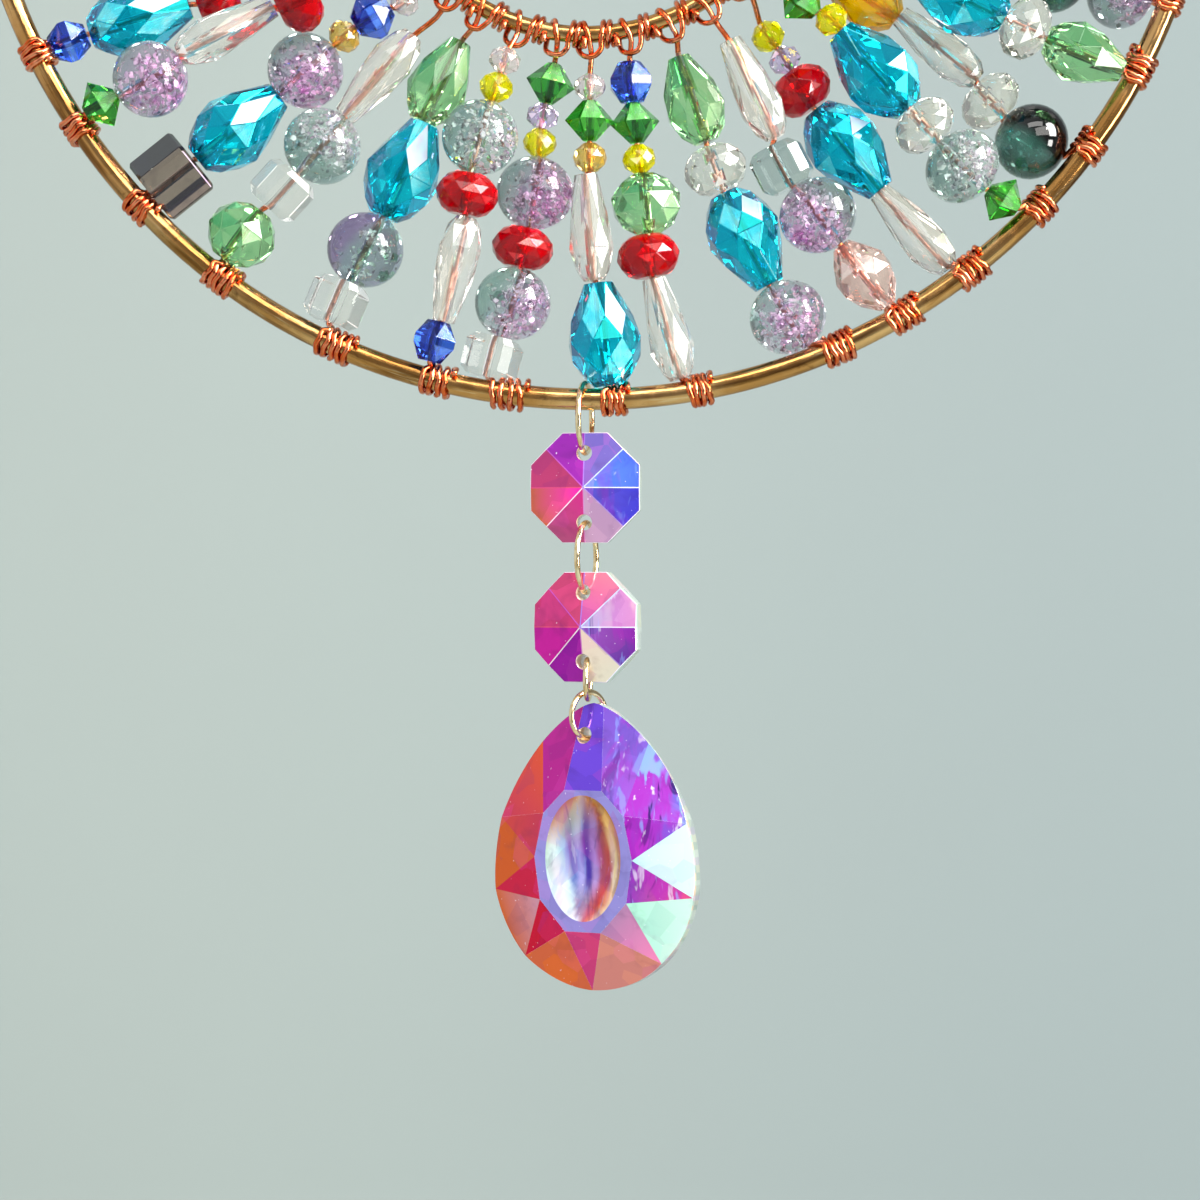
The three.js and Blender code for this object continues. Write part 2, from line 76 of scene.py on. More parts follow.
# Each strand: angle at the outer and at the inner hoop in degrees from straight down and clockwise from the
# front, depth at either end, and its beads from the outer hoop inwards: [kind, distance of its middle along
# the wire, sideways bend, length], or a plain threading order.
STRANDS = [
  [9.4, 7.2, 1.4, 1.6, [["U", 4.4, 0.7, 5.3], ["Kv", 11.7, -0.6, 9.1], ["R", 18.9, -0.5, 5.1], ["Kp", 26.1, -0.7, 9.1], ["Y", 32.5, -0.1, 3.5], ["V", 35.9, 0.2, 3.1], ["G", 40.2, 0.0, 5.2]]],
  [15.1, 17.5, -1.7, -2.2, [["B", 4.6, 0.6, 5.2], ["c", 14.1, 0.3, 13.6], ["R", 23.7, 1.2, 5.3], ["Kg", 31.1, 1.4, 9.3], ["Y", 37.7, 1.0, 3.6], ["P", 41.3, 0.8, 3.2]]],
  [25.1, 28.1, 0.6, 1.9, [["U", 5.0, 1.4, 5.7], ["Km", 12.6, 0.9, 9.3], ["T", 23.9, 0.7, 13.1], ["L", 36.2, 1.3, 11.4]]],
  [36.9, 37.0, -0.1, -0.8, [["Fg", 5.8, 1.3, 7.8], ["U", 13.4, 0.9, 5.7], ["Kg", 21.0, 0.5, 9.3], ["c", 32.5, 0.6, 13.5]]],
  [46.9, 47.0, 1.1, 2.0, [["Us", 5.3, 0.5, 7.0], ["T", 15.8, -0.1, 13.2], ["Kp", 27.1, 0.0, 9.3], ["A", 33.7, 0.2, 3.5], ["B", 38.1, -0.1, 5.1], ["P", 42.5, -1.2, 3.2]]],
  [55.9, 57.0, -2.2, -2.8, [["G", 4.0, 0.9, 4.6], ["Kp", 11.0, 0.4, 9.2], ["C", 22.4, 0.8, 13.5], ["R", 32.1, -0.8, 5.4], ["Y", 36.8, -0.7, 3.7], ["B", 41.3, -0.4, 5.2]]],
  [63.9, 66.0, 2.2, 2.8, [["B", 4.2, 0.4, 5.0], ["T", 13.7, -0.4, 13.2], ["R", 23.9, -1.8, 5.4], ["B", 29.3, -1.6, 5.2], ["C", 38.8, -0.7, 13.6]]],
  [73.0, 74.7, 0.0, 0.0, "C D c B"],
  [82.1, 83.4, 0.0, -0.1, "Kp Us C A Y A Y"],
  [91.2, 92.2, 0.0, 0.0, "Kp L C Y V Y"],
  [100.2, 100.9, 0.0, 0.0, "U C R F C"],
  [109.3, 109.6, 0.0, 0.0, "Us Kp Lp C Y P"],
  [118.4, 118.3, 0.0, 0.0, "Kp Fg t G Y G P"],
  [127.5, 127.0, 0.1, 0.0, "Kg L C A G Y"],
  [136.6, 135.8, 0.0, 0.0, "Kg T F Lp A G"],
  [145.7, 144.5, 0.0, 0.0, "T B R C V G A"],
  [154.7, 153.2, 0.0, 0.0, "Km L C V G B"],
  [163.8, 161.9, 0.0, 0.0, "B T C Y A G P"],
  [172.9, 170.6, 0.0, 0.0, "B L R c Y G P"],
  [-178.0, 179.4, 0.0, 0.0, "L Fg L c Y"],
  [-168.9, -171.9, -0.1, 0.0, "Kv B Kp Lp G Y G"],
  [-159.8, -163.2, 0.1, 0.0, "C G Lp C Y P"],
  [-150.8, -154.5, 0.0, 0.0, "T Fg t Y G A P"],
  [-141.7, -145.8, 0.1, 0.0, "U Kp F C P Y G"],
  [-132.6, -137.0, 0.0, 0.0, "B G Kv T Y V Y B"],
  [-123.5, -128.3, 0.0, 0.0, "B Km B c Y G Y P"],
  [-114.4, -119.6, 0.0, 0.0, "B Kv C R Y G A"],
  [-105.3, -110.9, 0.1, 0.0, "L Fg C P B G"],
  [-96.3, -102.2, 0.0, 0.0, "Us T F Lp A P Y"],
  [-87.2, -93.4, 0.0, 0.0, "Kp Us C V G Y P"],
  [-78.1, -84.7, 0.0, 0.0, "Kv Us t Y G P A"],
  [-69.1, -76.0, 1.8, 0.7, [["Kp", 6.0, 0.1, 8.4], ["D", 14.9, 1.2, 9.1], ["G", 22.1, 1.1, 5.2], ["C", 31.6, 0.7, 13.6], ["V", 40.1, 0.3, 3.2], ["Y", 43.7, 0.2, 3.7]]],
  [-62.0, -68.0, -2.2, -2.8, [["l", 7.0, 1.4, 10.5], ["F", 15.2, 1.7, 5.6], ["T", 24.6, 1.8, 13.0], ["Y", 33.1, 1.6, 3.7], ["G", 37.6, 1.1, 5.2], ["Y", 42.2, 0.6, 3.7], ["P", 45.7, 0.2, 3.2]]],
  [-53.3, -60.0, 2.2, 1.9, [["D", 6.3, 2.6, 9.0], ["F", 13.6, 1.5, 5.4], ["C", 22.9, -0.1, 12.9], ["La", 35.0, 0.2, 11.1], ["G", 43.2, 0.1, 5.2]]],
  [-46.1, -52.0, -1.6, -1.7, [["G", 4.0, 2.1, 4.6], ["Kg", 10.7, 2.5, 8.4], ["F", 17.7, 2.0, 5.5], ["T", 27.1, 1.2, 13.1], ["Y", 35.5, 0.3, 3.5], ["G", 39.9, 1.1, 5.1]]],
  [-37.6, -42.5, 2.2, 2.5, [["C", 8.4, 1.7, 13.3], ["t", 21.7, 1.9, 13.2], ["R", 31.4, 1.9, 5.4], ["V", 35.8, 1.1, 3.2], ["Y", 39.5, 0.9, 3.7]]],
  [-30.0, -32.3, -1.9, -2.2, [["Lp", 6.8, 1.2, 9.7], ["Kp", 16.4, 2.2, 9.2], ["Ug", 24.0, 2.9, 5.7], ["C", 34.3, 0.8, 13.6]]],
  [-22.2, -22.1, 1.2, 1.0, [["Kv", 6.3, 2.1, 9.1], ["t", 17.5, 2.7, 13.1], ["F", 27.3, 2.6, 6.0], ["L", 36.6, 1.5, 11.4]]],
  [-9.0, -11.3, 0.0, 0.0, [["C", 8.4, 1.3, 13.3], ["R", 17.9, 2.2, 5.4], ["Fg", 24.5, 1.4, 7.7], ["Y", 30.3, 1.4, 3.6], ["G", 34.9, 1.2, 5.2], ["B", 40.1, 0.9, 5.2]]],
  [-1.9, -1.0, 0.0, 0.0, [["T", 8.3, 0.5, 13.2], ["C", 22.0, 1.5, 13.6], ["A", 30.9, 1.0, 3.7], ["G", 35.6, 0.8, 5.2], ["P", 39.9, 0.5, 3.2]]],
]
BEAD_GAP = 0.1
TO_KEY = Vector((0.80, -0.36, 0.44)).normalized()  # towards the window light
TO_LOW = Vector((0.83, -0.52, -0.14)).normalized()  # towards a smaller, lower one
KEYS = [(math.atan2(d.x, -d.y), math.asin(d.z), wide, high) for d, wide, high in ((TO_KEY, 0.25, 0.36), (TO_LOW, 0.17, 0.17))]


# ---------------------------------------------------------------- materials
def lin(code, gain=1.0):
    """A display colour as a linear one."""
    c = [int(code[i : i + 2], 16) / 255 for i in (1, 3, 5)]
    return tuple(min(1.0, gain * (v / 12.92 if v <= 0.04045 else ((v + 0.055) / 1.055) ** 2.4)) for v in c) + (1.0,)


class Nodes:
    """A small helper around a node tree."""

    def __init__(self, tree):
        self.tree = tree

    def new(self, kind, **values):
        n = self.tree.nodes.new(kind)
        for key, v in values.items():
            if key.startswith("_"):
                setattr(n, key[1:], v)
            else:
                n.inputs[key.replace("_", " ")].default_value = v
        return n

    def link(self, a, b):
        self.tree.links.new(a, b)

    def mix(self, fac, a, b, blend="MIX"):
        n = self.tree.nodes.new("ShaderNodeMix")
        n.data_type = "RGBA"
        n.blend_type = blend
        n.clamp_factor = True
        for socket, v in ((n.inputs[0], fac), (n.inputs[6], a), (n.inputs[7], b)):
            if isinstance(v, bpy.types.NodeSocket):
                self.link(v, socket)
            else:
                socket.default_value = v
        return n.outputs[2]

    def noise(self, scale, detail=3.0, rough=0.55, vector=None, distortion=0.0):
        n = self.new("ShaderNodeTexNoise", Scale=scale, Detail=detail, Roughness=rough, Distortion=distortion)
        if vector is not None:
            self.link(vector, n.inputs["Vector"])
        return n.outputs["Fac"]

    def ramp(self, fac, low, high, a=0.0, b=1.0):
        n = self.tree.nodes.new("ShaderNodeMapRange")
        n.interpolation_type = "SMOOTHSTEP"
        self.link(fac, n.inputs["Value"])
        n.inputs["From Min"].default_value = low
        n.inputs["From Max"].default_value = high
        n.inputs["To Min"].default_value = a
        n.inputs["To Max"].default_value = b
        return n.outputs["Result"]


def material(name):
    m = bpy.data.materials.new(name)
    m.use_nodes = True
    t = m.node_tree
    t.nodes.clear()
    n = Nodes(t)
    out = t.nodes.new("ShaderNodeOutputMaterial")
    p = t.nodes.new("ShaderNodeBsdfPrincipled")
    n.link(p.outputs["BSDF"], out.inputs["Surface"])
    return m, n, p


def bump(n, p, height, strength, distance):
    b = n.new("ShaderNodeBump", Strength=strength, Distance=distance)
    n.link(height, b.inputs["Height"])
    n.link(b.outputs["Normal"], p.inputs["Normal"])


def position(n):
    return n.tree.nodes.new("ShaderNodeTexCoord").outputs["Object"]


def tone(n, name="tone"):
    a = n.tree.nodes.new("ShaderNodeAttribute")
    a.attribute_name = name
    return a.outputs["Fac"]


def along_hoop(n, centre, z0):
    """Places on a hoop unrolled, so that a noise runs along the wire: (along, across, depth)."""
    sep = n.tree.nodes.new("ShaderNodeSeparateXYZ")
    n.link(position(n), sep.inputs[0])

    def math_node(op, a, b):
        m = n.tree.nodes.new("ShaderNodeMath")
        m.operation = op
        for socket, v in ((m.inputs[0], a), (m.inputs[1], b)):
            if isinstance(v, bpy.types.NodeSocket):
                n.link(v, socket)
            else:
                socket.default_value = v
        return m.outputs[0]

    x = math_node("SUBTRACT", sep.outputs[0], centre * MM)
    z = math_node("SUBTRACT", sep.outputs[2], z0 * MM)
    turn = math_node("ARCTAN2", x, z)
    far = math_node("SQRT", math_node("ADD", math_node("MULTIPLY", x, x), math_node("MULTIPLY", z, z)), 0.0)
    join = n.tree.nodes.new("ShaderNodeCombineXYZ")
    n.link(math_node("MULTIPLY", turn, 0.006), join.inputs[0])
    n.link(far, join.inputs[1])
    n.link(sep.outputs[1], join.inputs[2])
    return join.outputs[0]


def aged_brass(name, centre, z0):
    m, n, p = material(name)
    where = position(n)
    drawn = along_hoop(n, centre, z0)
    broad = n.ramp(n.noise(90, 4, 0.6, where), 0.38, 0.66)
    colour = n.mix(broad, lin("#C08A4C"), lin("#DDAE72"))
    colour = n.mix(n.ramp(n.noise(900, 4, 0.6, drawn), 0.46, 0.68, 0.0, 0.8), colour, lin("#7A4E22"))
    colour = n.mix(n.ramp(n.noise(240, 5, 0.7, where, 1.5), 0.56, 0.72, 0.0, 0.7), colour, lin("#6B4420"))
    # pale cream streaks along the wire: a painted sheen
    colour = n.mix(n.ramp(n.noise(1500, 3, 0.6, drawn), 0.6, 0.75, 0.0, 0.5), colour, lin("#F6DFAE"))
    n.link(colour, p.inputs["Base Color"])
    p.inputs["Metallic"].default_value = 1.0
    n.link(n.ramp(n.noise(420, 5, 0.6, where), 0.3, 0.75, 0.09, 0.24), p.inputs["Roughness"])
    bump(n, p, n.noise(1100, 4, 0.6, drawn), 0.35, 0.00015)
    return m


def copper():
    m, n, p = material("copper_wire")
    where = position(n)
    colour = n.mix(n.ramp(n.noise(500, 4, 0.6, where), 0.35, 0.7), lin("#D8642E"), lin("#F29A72"))
    colour = n.mix(n.ramp(n.noise(1300, 3, 0.6, where), 0.58, 0.75), colour, lin("#742A0C"))
    n.link(colour, p.inputs["Base Color"])
    p.inputs["Metallic"].default_value = 1.0
    n.link(n.ramp(n.noise(900, 3, 0.5, where), 0.3, 0.8, 0.1, 0.26), p.inputs["Roughness"])
    bump(n, p, n.noise(2600, 3, 0.5, where), 0.25, 0.00008)
    return m


def copper_shaded():
    """The wire inside the beads: painted shade, a browner and duller copy of the copper for where it shows through the
    glass.
    """
    m, n, p = material("copper_shaded_in_glass")
    where = position(n)
    colour = n.mix(n.ramp(n.noise(500, 4, 0.6, where), 0.35, 0.7), lin("#9C6450"), lin("#BC8E80"))
    colour = n.mix(n.ramp(n.noise(900, 3, 0.6, where), 0.56, 0.72), colour, lin("#5C3226"))
    n.link(colour, p.inputs["Base Color"])
    p.inputs["Metallic"].default_value = 0.7
    p.inputs["Roughness"].default_value = 0.3
    bump(n, p, n.noise(2600, 3, 0.5, where), 0.25, 0.00008)
    return m


def gold():
    m, n, p = material("pale_gold")
    where = position(n)
    n.link(n.mix(n.ramp(n.noise(700, 3, 0.6, where), 0.4, 0.7), lin("#F6E0B4"), lin("#E4BE84")), p.inputs["Base Color"])
    p.inputs["Metallic"].default_value = 1.0
    n.link(n.ramp(n.noise(1200, 3, 0.5, where), 0.3, 0.8, 0.08, 0.22), p.inputs["Roughness"])
    bump(n, p, n.noise(2600, 3, 0.5, where), 0.2, 0.00006)
    return m


def glitter():
    """The bright leaves of a crackled ball's cracks."""
    m, n, p = material("crack_glitter")
    where = position(n)
    colour = n.mix(tone(n), lin("#EEFFF6"), lin("#FFE2FA"))
    # white patches on the leaves: painted glints
    colour = n.mix(n.ramp(n.noise(1300, 2, 0.5, where), 0.45, 0.62), colour, lin("#FFFFFF"))
    n.link(n.mix(n.ramp(n.noise(900, 2, 0.5, where, 1.0), 0.5, 0.6, 0.0, 0.75), colour, n.mix(tone(n), lin("#5E8478"), lin("#A0609C"))), p.inputs["Base Color"])
    p.inputs["Metallic"].default_value = 0.25
    p.inputs["Roughness"].default_value = 0.22
    p.inputs["Transmission Weight"].default_value = 0.3
    return m


def glass(name, first, second=None, transmission=1.0, rough=0.0, ior=1.54, coat=0.0, film=0.0, attribute="tone", low=0.3, high=0.75, wave=0.15):
    """Glass that turns from its first to its second colour across a bead, as the tone stored on the bead says; where
    the bead is given a side, that tone is painted light and shade.
    """
    m, n, p = material(name)
    where = position(n)
    second = second or first
    streak = n.noise(420, 2, 0.5, where)
    mixed = n.mix(n.ramp(tone(n, attribute), low, high), first, second)
    dim = tuple(0.86 * v for v in first[:3]) + (1.0,)
    mixed = n.mix(n.ramp(streak, 0.55, 0.8, 0.0, 0.45), mixed, dim)
    n.link(mixed, p.inputs["Base Color"])
    p.inputs["Roughness"].default_value = rough
    p.inputs["IOR"].default_value = ior
    p.inputs["Transmission Weight"].default_value = transmission
    if coat:
        p.inputs["Coat Weight"].default_value = coat
        p.inputs["Coat Roughness"].default_value = 0.02
    if film:
        p.inputs["Thin Film Thickness"].default_value = film
        p.inputs["Thin Film IOR"].default_value = 1.9
    bump(n, p, n.noise(160, 2, 0.5, where), wave, 0.0002)
    return m


def facet_crystal(name):
    """Crystal with a mirror-like coat whose facets each carry their own colour, stored on the mesh: the coat's colour
    together with painted reflections and highlights.
    """
    m, n, p = material(name)
    where = position(n)
    a = n.tree.nodes.new("ShaderNodeAttribute")
    a.attribute_name = "facet"
    colour = a.outputs["Color"]
    # reflections inside the stone: straight-edged patches, brighter, darker and turned in colour
    shards = n.tree.nodes.new("ShaderNodeTexVoronoi")
    shards.inputs["Scale"].default_value = 330
    n.link(where, shards.inputs["Vector"])
    split = n.tree.nodes.new("ShaderNodeSeparateColor")
    n.link(shards.outputs["Color"], split.inputs[0])
    colour = n.mix(n.ramp(split.outputs[0], 0.66, 0.70, 0.0, 0.22), colour, n.mix(0.6, colour, lin("#2A1078")))
    colour = n.mix(n.ramp(split.outputs[1], 0.78, 0.82, 0.0, 0.18), colour, n.mix(0.5, colour, lin("#FF50D0")))
    # painted reflections: streaks along the stone's right-hand rim, only where the mesh says
    turned = n.tree.nodes.new("ShaderNodeMapping")
    n.link(where, turned.inputs["Vector"])
    turned.inputs["Rotation"].default_value = (0.0, math.radians(-32), 0.0)
    turned.inputs["Scale"].default_value = (1.0, 1.0, 0.3)
    busy = tone(n, "busy")

    def streaks(scale, low, high, much, code, distortion=0.6):
        f = n.ramp(n.noise(scale, 3, 0.6, turned.outputs["Vector"], distortion), low, high, 0.0, much)
        m = n.tree.nodes.new("ShaderNodeMath")
        m.operation = "MULTIPLY"
        n.link(f, m.inputs[0])
        n.link(busy, m.inputs[1])
        return n.mix(m.outputs[0], colour, lin(code))

    colour = streaks(260, 0.47, 0.60, 0.8, "#B018B8")
    colour = streaks(330, 0.55, 0.62, 0.9, "#201860", 0.9)
    colour = streaks(400, 0.56, 0.63, 0.85, "#8CB0FF")
    colour = streaks(640, 0.61, 0.67, 0.8, "#F4F0FF", 0.4)
    # small pale specks: painted glints
    colour = n.mix(n.ramp(n.noise(2400, 1, 0.5, where), 0.75, 0.79, 0.0, 0.6), colour, lin("#FFF0FF"))
    colour = n.mix(n.ramp(n.noise(240, 3, 0.6, where, 0.6), 0.5, 0.75, 0.0, 0.35), colour, n.mix(0.7, colour, lin("#30104A")))
    n.link(colour, p.inputs["Base Color"])
    p.inputs["Metallic"].default_value = 0.4
    p.inputs["Roughness"].default_value = 0.07
    p.inputs["IOR"].default_value = 1.45
    p.inputs["Transmission Weight"].default_value = 0.22
    return m


def painted_flash(name, first, second, transmission, rough=0.08, metallic=0.0):
    """A facet with light or shade painted into its colour: mostly a painted reflection of the window, pale, glossy and
    less transparent than its neighbours, in a few a painted darker shade.
    """
    m, n, p = material(name)
    where = position(n)
    n.link(n.mix(n.ramp(n.noise(420, 3, 0.6, where), 0.4, 0.65), first, second), p.inputs["Base Color"])
    p.inputs["Roughness"].default_value = rough
    p.inputs["Metallic"].default_value = metallic
    p.inputs["IOR"].default_value = 1.54
    p.inputs["Transmission Weight"].default_value = transmission
    return m


CLEAR = (0.99, 0.98, 0.96, 1.0)
MAT = {
    "brass": aged_brass("aged_brass", 0.0, -ORIGIN),
    "inner_brass": aged_brass("aged_brass_inner", INNER_CENTRE[0], INNER_CENTRE[1] - ORIGIN),
    "copper": copper(),
    "copper_shaded": copper_shaded(),
    "gold": gold(),
    "glitter": glitter(),
    "T": glass("teal_glass", (0.004, 0.68, 0.88, 1), (0.0, 0.30, 0.50, 1), 0.955, film=330, low=0.1, high=0.9),
    "R": glass("red_glass", (0.86, 0.0, 0.004, 1), (0.36, 0.0, 0.005, 1), 0.84, ior=1.38),
    "G": glass("green_glass", (0.12, 0.74, 0.05, 1), (0.012, 0.26, 0.03, 1), 0.965, ior=1.44),
    "B": glass("blue_glass", (0.06, 0.20, 0.95, 1), (0.012, 0.04, 0.50, 1), 0.965, ior=1.46),
    "Y": glass("yellow_glass", (1.0, 0.93, 0.0, 1), (0.95, 0.80, 0.0, 1), 0.9, ior=1.48),
    "A": glass("amber_glass", (1.0, 0.58, 0.08, 1), (0.85, 0.66, 0.24, 1), 0.93),
    "V": glass("lavender_glass", (0.90, 0.74, 1.0, 1), (0.80, 0.62, 0.92, 1), 0.96),
    "P": glass("pale_pink_glass", (1.0, 0.90, 0.87, 1), (0.98, 0.82, 0.80, 1), 0.93),
    "C": glass("clear_glass", (1.0, 0.98, 0.95, 1), (0.99, 0.90, 0.80, 1), 0.94, ior=1.42),
    "U": glass("clear_block_glass", CLEAR, (0.98, 0.95, 0.90, 1), 0.97, ior=1.28),
    "Us": glass("smoky_glass", (0.004, 0.004, 0.012, 1), (0.36, 0.27, 0.22, 1), 0.985, ior=1.4, low=0.4, high=0.6),
    "Ug": glass("grey_glass", (0.66, 0.74, 0.71, 1), (0.58, 0.66, 0.64, 1), 0.98, ior=1.3),
    "F": glass("clear_round_glass", (1.0, 0.99, 0.95, 1), (0.90, 0.86, 0.74, 1), 0.965),
    "Fg": glass("light_green_glass", (0.24, 0.68, 0.28, 1), (0.62, 0.94, 0.48, 1), 0.98, ior=1.46),
    "Lp": glass("pink_oval_glass", (1.0, 0.74, 0.66, 1), (0.96, 0.60, 0.52, 1), 0.95),
    "La": glass("orange_glass", (1.0, 0.46, 0.0, 1), (1.0, 0.66, 0.04, 1), 0.86),
    "D": glass("dark_glass", (0.004, 0.004, 0.004, 1), (0.10, 0.36, 0.28, 1), 0.8, low=0.6, high=0.85),
    "Kp": glass("crackle_pink", (0.40, 0.49, 0.48, 1), (0.94, 0.62, 0.90, 1), 0.98, ior=1.36, wave=0.12),
    "Kg": glass("crackle_grey", (0.36, 0.50, 0.46, 1), (0.90, 0.98, 0.94, 1), 0.98, ior=1.36, wave=0.12),
    "Kv": glass("crackle_violet", (0.42, 0.60, 0.53, 1), (0.92, 0.70, 0.92, 1), 0.98, ior=1.36, wave=0.12),
    "Km": glass("crackle_purple", (0.40, 0.29, 0.50, 1), (0.38, 0.64, 0.50, 1), 0.98, ior=1.4, low=0.42, high=0.62, wave=0.12),
    # painted highlights, reflections and lighter facets, and one painted dark leaf facet, each a material of its own
    "teal_flash": painted_flash("teal_flash", (0.84, 0.80, 0.96, 1), (0.74, 0.92, 0.94, 1), 0.6),
    "teal_light": painted_flash("teal_light", (0.08, 0.80, 0.95, 1), (0.30, 0.95, 1.0, 1), 0.72),
    "red_flash": painted_flash("red_flash", (1.0, 0.10, 0.10, 1), (1.0, 0.30, 0.26, 1), 0.72),
    "red_light": painted_flash("red_light", (1.0, 0.02, 0.03, 1), (1.0, 0.08, 0.08, 1), 0.78),
    "green_flash": painted_flash("green_flash", (0.26, 0.92, 0.20, 1), (0.46, 0.95, 0.42, 1), 0.8),
    "blue_flash": painted_flash("blue_flash", (0.32, 0.50, 1.0, 1), (0.66, 0.80, 1.0, 1), 0.72),
    "blue_light": painted_flash("blue_light", (0.10, 0.26, 1.0, 1), (0.20, 0.40, 1.0, 1), 0.76),
    "yellow_flash": painted_flash("yellow_flash", (1.0, 0.98, 0.30, 1), (1.0, 1.0, 0.62, 1), 0.7),
    "amber_flash": painted_flash("amber_flash", (1.0, 0.76, 0.30, 1), (1.0, 0.88, 0.56, 1), 0.7),
    "clear_cream": painted_flash("clear_cream", (1.0, 0.92, 0.80, 1), (1.0, 0.98, 0.94, 1), 0.80),
    "clear_glint": painted_flash("clear_glint", (1.0, 0.98, 0.88, 1), (1.0, 1.0, 0.98, 1), 0.5),
    "lilac_glint": painted_flash("lilac_glint", (0.90, 0.66, 0.94, 1), (1.0, 0.86, 0.98, 1), 0.55),
    "mint_facet": painted_flash("mint_facet", (0.76, 0.94, 0.86, 1), (0.86, 0.96, 0.90, 1), 0.74),
    "leaf_flash": painted_flash("leaf_flash", (0.62, 0.96, 0.46, 1), (0.78, 1.0, 0.62, 1), 0.74),
    "leaf_dark": painted_flash("leaf_dark", (0.06, 0.42, 0.14, 1), (0.12, 0.56, 0.22, 1), 0.92),
    "pink_flash": painted_flash("pink_flash", (1.0, 0.80, 0.74, 1), (1.0, 0.92, 0.88, 1), 0.74),
    "crystal": facet_crystal("iridescent_crystal"),
    "crystal_clear": glass("clear_crystal", CLEAR, CLEAR, 0.95, ior=1.6),
}
MAT["t"], MAT["c"], MAT["L"], MAT["l"] = MAT["T"], MAT["C"], MAT["Fg"], MAT["Fg"]


# ---------------------------------------------------------------- meshes
class Build:
    """Vertices in millimetres, faces with their material and shading, and a tone for each corner."""

    def __init__(self):
        self.v, self.f, self.m, self.s, self.t = [], [], [], [], []
        self.mats = []

    def slot(self, mat):
        if mat not in self.mats:
            self.mats.append(mat)
        return self.mats.index(mat)

    def add(self, verts, faces, mat, smooth, tones=None, face_tones=None):
        base = len(self.v)
        self.v += verts
        for i, face in enumerate(faces):
            self.f.append([base + j for j in face])
            self.m.append(self.slot(mat[i] if isinstance(mat, list) else mat))
            self.s.append(smooth)
            if face_tones:
                self.t += [face_tones[i]] * len(face)
            else:
                self.t += [tones[j] if tones else 0.5 for j in face]

    def make(self, name, slot, *nodes):
        me = bpy.data.meshes.new(name)
        me.from_pydata([(x * MM, y * MM, z * MM) for x, y, z in self.v], [], self.f)
        for mat in self.mats:
            me.materials.append(mat)
        me.polygons.foreach_set("material_index", self.m)
        me.polygons.foreach_set("use_smooth", [bool(s) for s in self.s])
        a = me.attributes.new("tone", "FLOAT", "CORNER")
        a.data.foreach_set("value", self.t)
        me.update()
        me.validate()
        return place(bpy.data.objects.new(name, me), slot, *nodes)


def place(obj, slot, *nodes):
    if obj.name not in bpy.context.scene.collection.objects:
        bpy.context.scene.collection.objects.link(obj)
    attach(obj, "root")
    if nodes:
        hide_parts(*nodes)
    return obj


def smooth_path(points, per=4):
    """A Catmull-Rom curve through the points."""
    p = [Vector(q) for q in points]
    p = [p[0] * 2 - p[1]] + p + [p[-1] * 2 - p[-2]]
    out = []
    for i in range(1, len(p) - 2):
        a, b, c, d = p[i - 1], p[i], p[i + 1], p[i + 2]
        for k in range(per):
            t = k / per
            out.append(0.5 * (2 * b + (c - a) * t + (2 * a - 5 * b + 4 * c - d) * t * t + (3 * b - a - 3 * c + d) * t**3))
    out.append(p[-2])
    return out


def tube(path, radius, sides=8, closed=False, ends=True):
    """A round wire along a path, with rounded ends: (vertices, faces)."""
    n = len(path)
    tangents = []
    for i in range(n):
        a = path[(i - 1) % n] if closed or i else path[i]
        b = path[(i + 1) % n] if closed or i < n - 1 else path[i]
        tangents.append((b - a).normalized())
    ref = Vector((0, 0, 1)) if abs(tangents[0].z) < 0.9 else Vector((1, 0, 0))
    side = (ref - tangents[0] * ref.dot(tangents[0])).normalized()
    sides_at = [side]
    for i in range(1, n):
        side = side - tangents[i] * side.dot(tangents[i])
        side = side.normalized() if side.length > 1e-9 else sides_at[-1]
        sides_at.append(side)
    twist = 0.0
    if closed:
        last = sides_at[-1] - tangents[0] * sides_at[-1].dot(tangents[0])
        last.normalize()
        twist = math.atan2(tangents[0].dot(last.cross(sides_at[0])), last.dot(sides_at[0]))
    verts, faces = [], []
    rings = [(path[i], tangents[i], sides_at[i], 1.0, twist * i / n) for i in range(n)]
    if not closed and ends:
        a, b = rings[0], rings[-1]
        rings = [(a[0] - a[1] * radius * 0.35, a[1], a[2], 0.55, 0.0)] + rings + [(b[0] + b[1] * radius * 0.35, b[1], b[2], 0.55, 0.0)]
    for at, t, s, scale, turn in rings:
        up = t.cross(s)
        for k in range(sides):
            q = 2 * math.pi * k / sides + turn
            verts.append(tuple(at + (s * math.cos(q) + up * math.sin(q)) * radius * scale))
    m = len(rings)
    for i in range(m if closed else m - 1):
        for k in range(sides):
            j, l = (i + 1) % m, (k + 1) % sides
            faces.append([i * sides + k, i * sides + l, j * sides + l, j * sides + k])
    if not closed:
        faces.append([k for k in reversed(range(sides))])
        faces.append([(m - 1) * sides + k for k in range(sides)])
    return verts, faces


